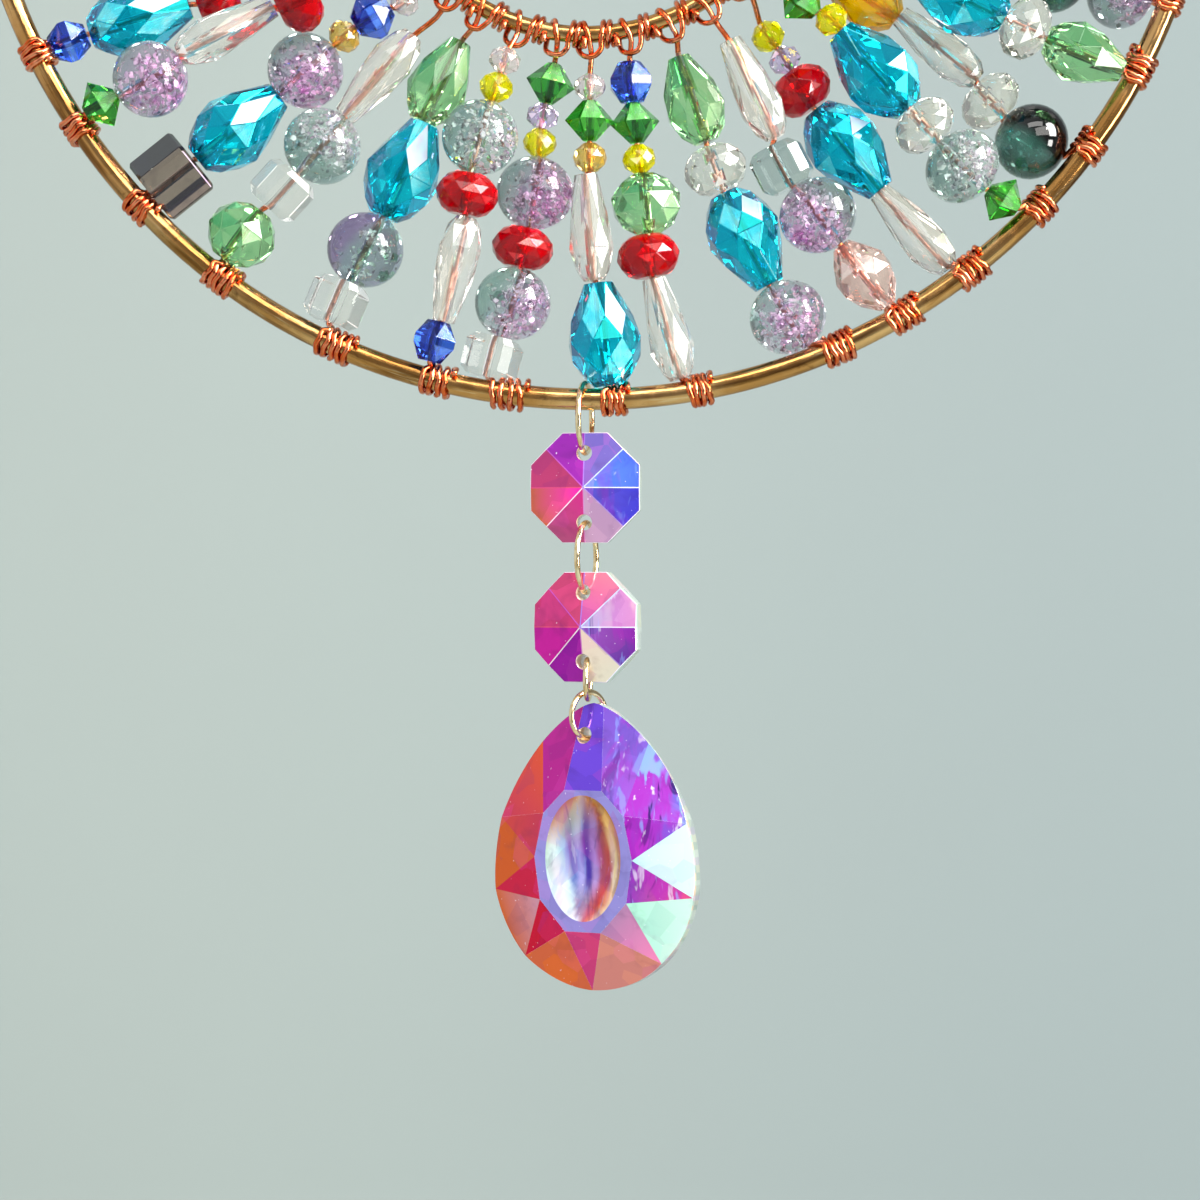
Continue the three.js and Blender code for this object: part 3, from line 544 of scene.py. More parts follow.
# ---------------------------------------------------------------- beads
# A bead is a stack of rings of corners along its wire, closed by the tube of its hole, so that it is one closed
# body with a true bore. A ring is (place along the bead, radius, turned by half a step or not).
def ring_stack(long, wide, rings, n, hole=0.55, squared=0.0, steps=1):
    verts, faces = [], []
    z0, z1 = -long / 2, long / 2
    rows = [(z0 + f * long, r * wide / 2, half) for f, r, half in rings]
    rows.append((z1, hole, rows[-1][2]))
    rows.append((z0, hole, rows[0][2] if True else 0))
    step = 2 * math.pi / n
    for i, (z, r, half) in enumerate(rows):
        for k in range(n):
            q = (k + half) * step
            rr = r
            if squared and i < len(rows) - 2:
                c, s = abs(math.cos(q)), abs(math.sin(q))
                rr = r * (1 + squared * (1 / max(c, s) - 1))
            verts.append((rr * math.cos(q), rr * math.sin(q), z))
    m = len(rows)
    for i in range(m):
        j = (i + 1) % m
        ha, hb = rows[i][2], rows[j][2]
        for k in range(n):
            l = (k + 1) % n
            a, a2, b, b2 = i * n + k, i * n + l, j * n + k, j * n + l
            if abs(ha - hb) < 1e-6:
                faces.append([a, a2, b2, b])
            elif hb > ha:
                faces += [[a, a2, b], [a2, b2, b]]
            else:
                faces += [[a, b2, b], [a, a2, b2]]
    return verts, faces


def tidy(verts, faces, bevel=0.0, smooth_hole=True, hole=0.55):
    """Small bevels along the edges between facets."""
    bm = bmesh.new()
    vs = [bm.verts.new(v) for v in verts]
    for f in faces:
        bm.faces.new([vs[i] for i in f])
    bm.normal_update()
    if bevel:
        edges = []
        for e in bm.edges:
            if len(e.link_faces) == 2 and e.calc_face_angle(0.0) > math.radians(7):
                if min(math.hypot(*v.co[:2]) for v in e.verts) > hole * 1.5:
                    edges.append(e)
        bmesh.ops.bevel(bm, geom=edges, offset=bevel, offset_type="OFFSET", segments=1, profile=0.5, affect="EDGES", clamp_overlap=True)
    bm.normal_update()
    bm.verts.index_update()
    v = [tuple(x.co) for x in bm.verts]
    f = [[x.index for x in face.verts] for face in bm.faces]
    bm.free()
    return v, f


def template(code):
    long, wide = SIZE[code]
    base = code[0]
    if base in "BG" and code in ("B", "G"):
        mouth = 0.27 if code == "G" else 0.46
        rings = [(0, mouth, 0), (0.40, 0.95, 0.5), (0.60, 0.95, 0.5), (1, mouth, 0)]
        if code == "G":
            rings = [(0, mouth, 0), (0.5, 1.0, 0), (1, mouth, 0)]
        return tidy(*ring_stack(long, wide * 1.07, rings, 6), bevel=0.05), False
    if code in ("T", "t"):
        rings = [(0, 0.40, 0), (0.10, 0.66, 0.5), (0.26, 0.90, 0), (0.44, 1.0, 0.5), (0.66, 0.827, 0), (1, 0.40, 0.5)]
        if code == "t":
            rings = [(1 - f, r, h) for f, r, h in reversed(rings)]
        return tidy(*ring_stack(long, wide, rings, 8), bevel=0.07), False
    if code in ("L", "l", "La"):
        rings = [(0, 0.42, 0), (0.12, 0.72, 0.5), (0.36, 1.0, 0), (0.64, 0.84, 0.5), (1, 0.36, 0)]
        if code == "l":
            rings = [(1 - f, r, h) for f, r, h in reversed(rings)]
        return tidy(*ring_stack(long, wide, rings, 8), bevel=0.07), False
    if code == "Lp":
        rings = [(0, 0.32, 0), (0.2, 0.74, 0.5), (0.42, 1.0, 0), (0.62, 0.96, 0.5), (0.84, 0.66, 0), (1, 0.32, 0.5)]
        return tidy(*ring_stack(long, wide, rings, 8), bevel=0.06), False
    if code in ("C", "c"):
        rings = [(0, 0.46, 0), (0.09, 0.74, 0.5), (0.30, 1.0, 0), (0.60, 0.86, 0.5), (1, 0.52, 0)]
        if code == "c":
            rings = [(1 - f, r, h) for f, r, h in reversed(rings)]
        return tidy(*ring_stack(long, wide, rings, 8), bevel=0.05), False
    if code == "R":
        rings = [(0, 0.50, 0), (0.09, 0.72, 0.5), (0.28, 0.93, 0), (0.5, 1.0, 0.5), (0.72, 0.93, 0), (0.91, 0.72, 0.5), (1, 0.50, 0)]
        return tidy(*ring_stack(long, wide, rings, 10), bevel=0.05), False
    if code == "F":
        rings = [(0, 0.46, 0), (0.10, 0.72, 0.5), (0.29, 0.94, 0), (0.5, 1.0, 0.5), (0.71, 0.94, 0), (0.90, 0.72, 0.5), (1, 0.46, 0)]
        return tidy(*ring_stack(long, wide, rings, 10), bevel=0.05), False
    if code == "Fg":
        rings = [(0, 0.36, 0), (0.13, 0.70, 0.5), (0.36, 0.97, 0), (0.64, 0.97, 0.5), (0.87, 0.70, 0), (1, 0.36, 0.5)]
        return tidy(*ring_stack(long, wide, rings, 8), bevel=0.07), False
    if code in ("U", "Us", "Ug"):
        verts, faces = block(long, wide, 0.14 if code == "Us" else 0.36)
        return tidy(verts, faces, bevel=0.08), False
    if code in ("Y", "A", "V", "P"):
        rings = [(0, 0.40, 0), (0.24, 0.90, 0.5), (0.5, 1.0, 0), (0.76, 0.90, 0.5), (1, 0.40, 0)]
        return tidy(*ring_stack(long, wide, rings, 8, hole=0.45), bevel=0.03), False
    # balls
    rings = []
    for i in range(15):
        q = math.radians(14 + 152 * i / 14)
        f = 0.5 - 0.5 * math.cos(q) / math.cos(math.radians(14))
        rings.append((f, math.sin(q), 0))
    return ring_stack(long, wide, rings, 32), True


def block(long, wide, share):
    """A cube with cut corners, bored along its middle."""
    n = 8
    half = wide / 2
    cut = share * half
    corners = []
    for sx, sy in ((1, 1), (-1, 1), (-1, -1), (1, -1)):
        a = (sx * half, sy * (half - cut))
        b = (sx * (half - cut), sy * half)
        corners += [a, b] if sx * sy > 0 else [b, a]
    small = [(x * (1 - 0.72 * share), y * (1 - 0.72 * share)) for x, y in corners]
    hole = [(0.55 * math.cos((k + 0.5) * math.pi / 4), 0.55 * math.sin((k + 0.5) * math.pi / 4)) for k in range(8)]
    start = min(range(8), key=lambda k: math.hypot(hole[k][0] - small[0][0], hole[k][1] - small[0][1]))
    hole = hole[start:] + hole[:start]
    rows = [(-long / 2, small), (-long / 2 + cut * 0.8, corners), (long / 2 - cut * 0.8, corners), (long / 2, small), (long / 2, hole), (-long / 2, hole)]
    verts = [(x, y, z) for z, row in rows for x, y in row]
    faces = []
    m = len(rows)
    for i in range(m):
        j = (i + 1) % m
        for k in range(n):
            l = (k + 1) % n
            faces.append([i * n + k, i * n + l, j * n + l, j * n + k])
    return verts, faces


TEMPLATES = {code: template(code) for code in SIZE}
CRACKLE = ("Kp", "Kg", "Kv", "Km", "D")


def cracks(rng, radius, count, side, big=1.0, inwards=True):
    """Thin gaps or bright leaves inside a crackled ball, as small bent closed bodies."""
    verts, faces = [], []
    for _ in range(count):
        while True:
            c = Vector([rng.uniform(-1, 1) for _ in range(3)])
            if c.length < 1:
                break
        if side.dot(c) < rng.uniform(-1.0, 0.7):
            c = -c
        c = c * radius * 0.86
        if math.hypot(c.x, c.y) < 1.1:
            c.x, c.y = (c.x or 0.1) * 1.9, (c.y or 0.1) * 1.9
        if c.length > radius * 0.86:
            c = c.normalized() * radius * 0.86
        nrm = Vector([rng.gauss(0, 1) for _ in range(3)]).normalized()
        nrm = (nrm + c.normalized() * rng.choice((-0.8, 0.0, 0.8))).normalized()
        u = nrm.orthogonal().normalized()
        w = nrm.cross(u)
        size = big * rng.uniform(0.45, 1.25) * min(1.0, (radius * 0.97 - c.length) / 0.9 + 0.35)
        k = rng.choice((4, 5, 6))
        turn = rng.uniform(0, 6.28)
        thick = 0.02
        top, low = [], []
        for i in range(k):
            q = turn + 2 * math.pi * i / k
            r = size * rng.uniform(0.55, 1.0)
            d = u * math.cos(q) * r + w * math.sin(q) * r * 0.8
            sag = nrm * (0.14 * r * r * (1 if k % 2 else -1))
            top.append(c + d + sag)
        mid = c + nrm * thick
        mid2 = c - nrm * thick
        base = len(verts)
        verts += [tuple(p) for p in top] + [tuple(mid), tuple(mid2)]
        for i in range(k):
            j = (i + 1) % k
            one, two = [base + i, base + j, base + k], [base + j, base + i, base + k + 1]
            faces += [one[::-1], two[::-1]] if inwards else [one, two]
    return verts, faces


def strand_path(row):
    """The strand's beads as (code, middle, direction, length), and its straight line's frame."""
    outer, inner, depth_out, depth_in, beads = row
    a, b = math.radians(outer), math.radians(inner)
    start = Vector((-OUTER_R * math.sin(a), 0, -OUTER_R * math.cos(a)))
    end = Vector((INNER_CENTRE[0] - INNER_R * math.sin(b), 0, INNER_CENTRE[1] - INNER_R * math.cos(b)))
    along = end - start
    length = along.length
    along.normalize()
    aside = Vector((-along.z, 0, along.x))
    if isinstance(beads, str):
        t, rows = OUTER_WIRE + GAP + 0.15, []
        for code in beads.split():
            long = SIZE[code][0]
            rows.append([code, t + BEAD_GAP + long / 2, 0.0, long])
            t += BEAD_GAP + long
        beads = rows
    up = Vector((0, 0, -ORIGIN))

    def at(t, bend):
        p = start + along * t + aside * bend + up
        p.y = depth_out + (depth_in - depth_out) * t / length
        return p

    middles = [at(t, bend) for _, t, bend, _ in beads]
    ends = [at(0, beads[0][2] * 0.3), at(length, beads[-1][2] * 0.3)]
    chain = [ends[0]] + middles + [ends[1]]
    placed = []
    for i, (code, t, bend, long) in enumerate(beads):
        direction = (chain[i + 2] - chain[i]).normalized()
        placed.append((code, middles[i], direction, long))
    return placed, start + up, end + up, along, aside, length


def facets_of(verts, faces):
    """The outer facets in the bead's own axes: (normal, area, faces), with faces of one plane as one facet."""
    out = []
    for k, f in enumerate(faces):
        p = [Vector(verts[i]) for i in f]
        n = Vector((0, 0, 0))
        for i in range(1, len(p) - 1):
            n += (p[i] - p[0]).cross(p[i + 1] - p[0]) / 2
        if n.length < 0.12 or n.dot(sum(p, Vector()) / len(p)) <= 0:
            continue
        unit = n.normalized()
        for facet in out:
            if facet[0].dot(unit) > 0.9985:
                facet[1] += n.length
                facet[2].append(k)
                break
        else:
            out.append([unit, n.length, [k]])
    return out


FACETS = {code: facets_of(*TEMPLATES[code][0]) for code in SIZE}


def best_roll(code, u, v, w, rng):
    """Turns a faceted bead on its wire so that its larger facets mirror the window towards the front, or the
    clear blocks so that they don't."""
    if TEMPLATES[code][1]:
        return rng.uniform(0, 2 * math.pi)
    best, roll = -1e9, 0.0
    offset = rng.uniform(0, 1)
    want = WANTED.get(code)
    quiet = {"U": 6.0, "Ug": 6.0, "C": 4.0, "c": 4.0, "R": 3.2, "B": 2.2, "Fg": 3.0, "L": 2.5, "l": 2.5, "Y": 1.0, "A": 1.0}.get(code, 0)
    for i in range(120):
        q = math.radians(3 * (i + offset))
        c, s = math.cos(q), math.sin(q)
        score = 0.0
        for n, area_, _ in FACETS[code]:
            d = u * (n.x * c - n.y * s) + v * (n.x * s + n.y * c) + w * n.z
            if d.y > -0.2:
                continue
            if want:
                score = max(score, d.dot(want) * min(1.0, area_ / 4))
                continue
            m = Vector((0, 1, 0)) - d * (2 * d.y)
            for az, el, wide, high in KEYS:
                turn = abs(math.atan2(m.x, -m.y) - az)
                rise = abs(math.asin(max(-1, min(1, m.z))) - el)
                hit = -d.y * max(0.0, 1 - turn / wide) * max(0.0, 1 - rise / high)
                if quiet and area_ > quiet:
                    score -= 4 * area_ * hit
                else:
                    score += area_ * hit
        if score > best:
            best, roll = score, q
    return roll


UP_RIGHT = Vector((0.42, -0.85, 0.32)).normalized()
# Facets that face this way by the bead's turn on its wire
WANTED = {"T": UP_RIGHT, "t": UP_RIGHT, "G": Vector((0.15, -1, 0)).normalized(), "Us": Vector((0.55, -0.8, -0.2)).normalized()}
# Facets painted with a highlight, a reflection or shade: (material, direction faced or None for any, how many, least
# and greatest area)
FLASH = {
    "T": [("teal_flash", (0.42, -0.85, 0.32), 1, 3, 99), ("teal_light", None, 3, 0.5, 99), ("teal_light", (0.5, -0.8, -0.4), 1, 0.5, 99)],
    "R": [("red_flash", (0.30, -0.92, 0.10), 1, 0.8, 99), ("red_light", None, 2, 0.3, 2.5)],
    "G": [("green_flash", (0.50, -0.80, 0.30), 1, 1, 99)],
    "B": [("blue_flash", (0.55, -0.75, 0.35), 1, 0.5, 99), ("blue_light", (0.3, -0.8, -0.45), 1, 0.5, 99)],
    "Y": [("yellow_flash", None, 1, 0.2, 99)],
    "A": [("amber_flash", None, 1, 0.2, 99)],
    "C": [("clear_cream", (0.5, -0.8, 0.2), 1, 1, 99), ("clear_glint", None, 1, 0.3, 3)],
    "F": [("clear_glint", None, 4, 0.2, 2.2), ("clear_cream", None, 3, 0.6, 99)],
    "U": [("clear_glint", (0.6, -0.6, 0.5), 1, 0.2, 4), ("clear_glint", (-0.5, -0.6, 0.6), 1, 0.2, 4), ("clear_glint", (0.6, -0.5, -0.6), 1, 0.2, 4)],
    "Us": [("lilac_glint", None, 1, 0.2, 3)],
    "Ug": [("mint_facet", (0.6, -0.75, 0.1), 1, 3, 99)],
    "Fg": [("leaf_flash", (0.62, -0.75, -0.1), 2, 0.8, 99), ("leaf_dark", (-0.55, -0.7, 0.45), 2, 0.8, 99)],
    "Lp": [("pink_flash", None, 3, 0.5, 99)],
    "La": [("amber_flash", (0.5, -0.8, 0.2), 1, 0.5, 99)],
    "V": [("lilac_glint", None, 1, 0.2, 99)],
    "P": [("clear_cream", None, 1, 0.2, 99)],
}
FLASH["t"], FLASH["c"], FLASH["L"], FLASH["l"] = FLASH["T"], FLASH["C"], FLASH["Fg"], FLASH["Fg"]


def put_bead(build, rng, code, middle, direction, long, side=None):
    (verts, faces), smooth = TEMPLATES[code]
    stretch = long / SIZE[code][0]
    w = direction
    u = w.cross(Vector((0, 1, 0))).normalized()
    v = w.cross(u)
    roll = best_roll(code, u, v, w, rng)
    cu, su = math.cos(roll), math.sin(roll)
    grow = rng.uniform(0.985, 1.015)
    shade = Vector((rng.gauss(0, 1), rng.gauss(0, 1), rng.gauss(0, 0.5))).normalized()
    if side:
        look = Vector((side[0], -0.35, side[1])).normalized()
        a, b = look.dot(u), look.dot(v)
        shade = Vector((a * cu + b * su, b * cu - a * su, look.dot(w)))
    r = SIZE[code][1] / 2

    def world(p):
        x, y = p[0] * cu - p[1] * su, p[0] * su + p[1] * cu
        return tuple(middle + u * x * grow + v * y * grow + w * p[2] * stretch)

    # tone across the bead: painted light and shade towards the side given, random where none is
    tones = [0.5 + 0.5 * max(-1, min(1, (Vector(p) / r).dot(shade))) for p in verts]
    if smooth:
        build.add([world(p) for p in verts], faces, MAT[code], True, tones)
    else:
        # each facet has a tone, painted shade by the side it faces with some at random, and some have a material of
        # their own, a painted highlight, reflection or shade
        face_tones = [0.5 + rng.uniform(-0.2, 0.2) for _ in faces]
        mats = [MAT[code] for _ in faces]
        facing = []
        for n, area_, members in FACETS[code]:
            d = u * (n.x * cu - n.y * su) + v * (n.x * su + n.y * cu) + w * n.z
            facing.append((d, area_, members))
            value = 0.5 + 0.45 * n.dot(shade) + rng.uniform(-0.3, 0.3)
            if code == "Us":
                value = rng.choice((0.25, 0.9, 0.9)) if d.y > 0 else 0.5 + n.dot(shade)
            for k in members:
                face_tones[k] = max(0.0, min(1.0, value))
        used = set()
        for mat, way, count, least, most in FLASH.get(code, ()):
            free = [i for i, (d, area_, _) in enumerate(facing) if i not in used and d.y < -0.25 and least < area_ < most]
            if way:
                aim = Vector(way).normalized()
                free.sort(key=lambda i: -facing[i][0].dot(aim))
            else:
                rng.shuffle(free)
            for i in free[:count]:
                used.add(i)
                for k in facing[i][2]:
                    mats[k] = MAT[mat]
        build.add([world(p) for p in verts], faces, mats, False, None, face_tones)
    if code in CRACKLE:
        few = {"Km": 0.3, "D": 0.25}.get(code, 1.0)
        for mat, count, big, inwards in ((MAT[code], 34, 0.9, True), (MAT["glitter"], 360, 0.46, False)):
            cv, cf = cracks(rng, min(r, long / 2), int(count * few), shade, big, inwards)
            build.add([world(p) for p in cv], cf, mat, False, [0.5 + 0.5 * max(-1, min(1, (Vector(p) / r).dot(shade))) for p in cv])


def hoop_frame(centre, radius, degrees):
    """Middle of the hoop's wire at an angle, outwards, and to the right as seen from the front."""
    a = math.radians(degrees)
    out = Vector((-math.sin(a), 0, -math.cos(a)))
    right = Vector((math.cos(a), 0, -math.sin(a)))
    middle = Vector((centre[0], 0, centre[1] - ORIGIN)) + out * radius
    return middle, out, right


def around(centre, radius, degrees, rho, psi):
    """A point at a distance rho from a hoop's wire: psi 0 is inside the hoop, 90 in front, 180 outside, 270 behind."""
    middle, out, _ = hoop_frame(centre, radius, degrees)
    q = math.radians(psi)
    return middle - out * rho * math.cos(q) + Vector((0, -1, 0)) * rho * math.sin(q)


def strand_wire(index, row, placed, rng):
    outer, inner = row[0], row[1]
    deg = 180 / math.pi
    points = []
    # turns round the outer hoop, from the wire's cut end to the strand
    rho = OUTER_WIRE + WIRE_R + 0.03
    turns = WRAPS.get(index, (rng.choice((3, 3, 4)), rng.uniform(0.6, 2.2), rng.choice((0.66, 0.72, 0.8))))
    n, shift, pitch = turns
    first = placed[0]
    tip = first[1] - first[2] * (first[3] / 2)
    mid, out, right = hoop_frame((0, 0), OUTER_R, outer)
    here = outer  # where the strand meets the hoop
    begin = here - (shift + n * pitch) / OUTER_R * deg  # far end of the turns, to the right
    total = n * 360
    step = 30
    k = int(total / step)
    for i in range(k + 1):
        psi = 60 + 360 * n - i * step  # unwinding towards the strand
        share = i / k
        a = begin + (n * pitch * share + 0.10 * math.sin(3.1 * i + index) + 0.14 * math.sin(0.9 * i + 2 * index)) / OUTER_R * deg
        extra = 0.05 * abs(math.sin(1.7 * i + index * 2.3)) + 0.10 * max(0.0, math.sin(0.53 * i + index))
        if i < 2:
            extra += 0.3 * (2 - i)
        points.append(around((0, 0), OUTER_R, a, rho + extra, psi))
    # over the front of the hoop to the first bead
    points.append(around((0, 0), OUTER_R, here - shift * 0.35 / OUTER_R * deg, rho + 0.12, 40))
    for code, middle, direction, long in placed:
        half = direction * (long / 2)
        points += [middle - half * 0.9, middle, middle + half * 0.9]
    # inner hoop: over its front and top, down behind, a hanging loop in front of the strand, then coils to the right
    m, o, r = hoop_frame(INNER_CENTRE, INNER_R, inner)
    f = Vector((0, -1, 0))
    R = INNER_WIRE + WIRE_R + 0.04
    loop = LOOPS.get(index, (3.0, 2, 0.0))
    drop, coils, lean = loop
    j = lambda s=0.12: rng.uniform(-s, s)

    def q(s, h, d):
        return m + r * s + o * h + f * d

    last = placed[-1]
    top = last[1] + last[2] * (last[3] / 2)
    gap = (top - m).dot(o)
    if gap > 4.5:
        points.append(q(0.0 + j(), gap * 0.55, 0.5))
    points += [
        q(-0.1, 1.6, 1.0),
        q(-0.35 + j(), 0.2, R),
        q(-0.7 + j(), -R * 0.8, R * 0.6),
        q(-1.0 + j(), -R * 0.8, -R * 0.55),
        q(-1.35 + j(), 0.3, -R),
        q(-1.6 + lean + j(), 1.5, -R * 0.7),
        q(-1.35 + lean + j(), drop * 0.85, 0.2),
        q(-0.5 + lean * 0.6, drop + 0.05, 0.95),
        q(0.5, drop - 0.1, 1.05),
        q(1.15 + j(), drop * 0.68, 1.05),
        q(1.3 + j(), 1.1, 1.25),
    ]
    s = 1.45
    for i in range(int(coils * 4)):
        psi = i % 4
        h, d = ((0.0, R), (-R, 0.05), (0.0, -R), (R, -0.05))[psi]
        h, d = h + j(0.1), d * (1 + rng.uniform(0, 0.08))
        points.append(q(s, h, d))
        s += 0.17 + rng.uniform(0, 0.06)
    points += [q(s + 0.1, 0.5, R + 0.05), q(s + 0.35 + j(), 1.7 + j(0.4), R + 0.35 + j(0.3))]
    return points


# The side, right and up, on which a bead turns to its second colour, painted light and shade, and on which its cracks
# gather: (strand, bead from the outside)
SIDES = {
    (1, 1): (0.8, -0.6), (1, 3): (0.7, -0.4), (2, 3): (0.9, -0.3), (3, 1): (0.7, -0.7), (4, 2): (0.6, 0.6),
    (5, 0): (0.3, -0.9), (5, 2): (0.3, -0.6), (6, 1): (0.3, -0.2), (35, 0): (-0.6, -0.7), (33, 0): (-0.6, -0.7),
    (34, 0): (-0.6, -0.7), (32, 1): (-0.6, -0.7), (32, 0): (0.5, 0.3), (35, 1): (0.8, 0.1), (37, 1): (-0.5, -0.6),
    (38, 0): (0.2, -0.1),
}
# The side on which the other beads turn to their second colour: painted shade and light, darker away from the window
# for T, R, G and B, lighter towards the right and lower right for the light greens and the smoky cube, green at the
# lower left of the dark ball
SHADED = {"T": (-0.7, -0.1), "t": (-0.7, -0.1), "R": (-0.6, -0.6), "G": (-0.8, 0.1), "B": (-0.7, 0.3), "Us": (0.6, -0.7), "Fg": (0.7, -0.2), "L": (0.7, -0.2), "l": (0.7, -0.2), "D": (-0.6, -0.7)}
# Turns round the outer hoop of the strands that show: (turns, distance from the strand, pitch)
WRAPS = {
    1: (4, 0.2, 1.15), 2: (4, -0.9, 0.95), 3: (5, -1.2, 0.92), 4: (5, -1.6, 0.8), 5: (4, -1.3, 0.86), 6: (4, -1.6, 0.8),
    7: (4, -1.5, 0.82), 32: (4, -1.0, 0.8), 33: (5, -1.4, 0.8), 34: (4, -0.8, 0.78), 35: (4, -0.9, 0.86),
    36: (5, -1.5, 0.82), 37: (5, -1.4, 0.86), 38: (5, 0.1, 0.8), 39: (4, 0.3, 0.72), 40: (4, -1.1, 0.78),
}
# The loop under the inner hoop: (how far below the hoop's wire, coils after it, how far to the left)
LOOPS = {}



def wire_mats(verts, faces, placed):
    """Bright copper outside the beads and, inside them, the browner copper of painted shade, face by face."""
    found = []
    for f in faces:
        c = sum((Vector(verts[k]) for k in f), Vector()) / len(f)
        inside = False
        for _, middle, direction, long in placed:
            at = (c - middle).dot(direction)
            if abs(at) < long / 2 and (c - middle - direction * at).length < 1.2:
                inside = True
        found.append(MAT["copper_shaded"] if inside else MAT["copper"])
    return found


for i, row in enumerate(STRANDS):
    rng = random.Random(1000 + i)
    placed, start, end, along, aside, length = strand_path(row)
    name = "bead_strand_%02d" % (i + 1)
    b = Build()
    for j, (code, middle, direction, long) in enumerate(placed):
        put_bead(b, rng, code, middle, direction, long, SIDES.get((i + 1, j), SHADED.get(code)))
    b.make("beads_%02d" % (i + 1), "bead_glass", name)
    path = smooth_path(strand_wire(i + 1, row, placed, rng), 3)
    w = Build()
    verts, faces = tube(path, WIRE_R, 8)
    w.add(verts, faces, wire_mats(verts, faces, placed), True)
    w.make("wire_%02d" % (i + 1), "copper_wire")


# ---------------------------------------------------------------- hoops and rings
def hoop(name, centre, radius, wire, mat, slot, steps, seed, plane=0.0):
    rng = random.Random(seed)
    waves = [(rng.randint(2, 9), rng.uniform(0, 6.28), rng.uniform(0.02, 0.06)) for _ in range(5)]
    path = []
    for i in range(steps):
        q = 2 * math.pi * i / steps
        r = radius + sum(a * math.sin(k * q + p) for k, p, a in waves)
        y = plane + sum(a * math.cos(k * q + 2 * p) for k, p, a in waves)
        path.append(Vector((centre[0] + r * math.sin(q), y, centre[1] - ORIGIN + r * math.cos(q))))
    b = Build()
    b.add(*tube(path, wire, 20, closed=True), mat, True)
    return b.make(name + "_hoop", slot, name)


hoop("outer_ring", (0, 0), OUTER_R, OUTER_WIRE, MAT["brass"], "brass", 360, 5)
hoop("inner_ring", INNER_CENTRE, INNER_R, INNER_WIRE, MAT["inner_brass"], "brass", 200, 6)


def split_ring(name, centre, radius, wire, turn, mat, slot, seam, sides=14, steps=56):
    """A ring of wire closed up to a fine seam. turn 90 lies in the plane of the hoops, 0 is edge on."""
    a = math.radians(turn)
    flat = Vector((math.sin(a), math.cos(a), 0))
    up = Vector((0, 0, 1))
    path = []
    gap = 0.06 / radius
    for i in range(steps + 1):
        q = math.radians(seam) + gap + (2 * math.pi - 2 * gap) * i / steps
        slip = 0.05 * (i / steps - 0.5)
        path.append(Vector(centre) + flat * radius * math.cos(q) + up * radius * math.sin(q) + flat.cross(up) * slip)
    verts, faces = tube(path, wire, sides, ends=True)
    b = Build()
    b.add(verts, faces, mat, True)
    return b.make(name + "_wire", slot, name)


split_ring("hanging_ring", (0, 0, -HANGING_R + HANGING_WIRE), HANGING_R, HANGING_WIRE, 90, MAT["brass"], "brass", 200, 16, 80)
for k, (name, x, z, r, turn) in enumerate(JUMPS):
    split_ring(name, (x, 0, z - ORIGIN), r, JUMP_WIRE, turn, MAT["gold"], "gold_wire", (70, 100, 250, 40, 300)[k])


# ---------------------------------------------------------------- crystals
def crystal_frame(x, z, turn):
    a = math.radians(turn)
    right = Vector((math.cos(a), -math.sin(a), 0))
    up = Vector((0, 0, 1))
    m = Matrix((right, up, right.cross(up))).transposed().to_4x4()
    m.translation = Vector((x, 0, z - ORIGIN)) * MM
    return m


def cutter(kind, **k):
    bm = bmesh.new()
    if kind == "bore":
        bmesh.ops.create_cone(bm, cap_ends=True, segments=32, radius1=k["r"], radius2=k["r"], depth=14)
        bmesh.ops.translate(bm, verts=bm.verts, vec=(k.get("x", 0), k["y"], 0))
    else:
        bmesh.ops.create_uvsphere(bm, u_segments=64, v_segments=48, radius=1)
        bmesh.ops.scale(bm, verts=bm.verts, vec=k["scale"])
        bmesh.ops.translate(bm, verts=bm.verts, vec=k["at"])
    me = bpy.data.meshes.new("cutter")
    bm.to_mesh(me)
    bm.free()
    return bpy.data.objects.new("cutter", me)


def carve(bm, cutters):
    """The body less its cutters, as a new mesh."""
    me = bpy.data.meshes.new("body")
    bm.to_mesh(me)
    bm.free()
    obj = bpy.data.objects.new("body", me)
    scene = bpy.context.scene.collection
    scene.objects.link(obj)
    for c in cutters:
        scene.objects.link(c)
        mod = obj.modifiers.new("cut", "BOOLEAN")
        mod.operation = "DIFFERENCE"
        mod.solver = "EXACT"
        mod.object = c
    bpy.context.view_layer.update()
    made = bpy.data.meshes.new_from_object(obj.evaluated_get(bpy.context.evaluated_depsgraph_get()))
    for o in [obj] + list(cutters):
        old = o.data
        bpy.data.objects.remove(o)
        bpy.data.meshes.remove(old)
    return made


def paint(me, name, choose, mats):
    """Gives each face its material and facet colour. choose(middle, normal) -> (material, smooth, corner -> colour)."""
    for m in mats:
        me.materials.append(m)
    a = me.color_attributes.new("facet", "FLOAT_COLOR", "CORNER")
    b = me.attributes.new("busy", "FLOAT", "CORNER")
    a = me.attributes["facet"]
    for poly in me.polygons:
        k, smooth, colour = choose(poly.center, poly.normal)
        poly.material_index = k
        poly.use_smooth = smooth
        for li in poly.loop_indices:
            co = me.vertices[me.loops[li].vertex_index].co
            a.data[li].color = colour(co)
            b.data[li].value = getattr(colour, "busy", 0.0)
    me.update()


def vivid(code):
    """A facet's colour, a little brighter than it shows, since the coat gives back only a part of the light."""
    c = lin(code)
    top = max(c[:3])
    gain = min(1.12, 1.0 / top)
    return tuple(v * gain for v in c[:3]) + (1.0,)


def flat_colour(code):
    c = vivid(code)
    return lambda co: c


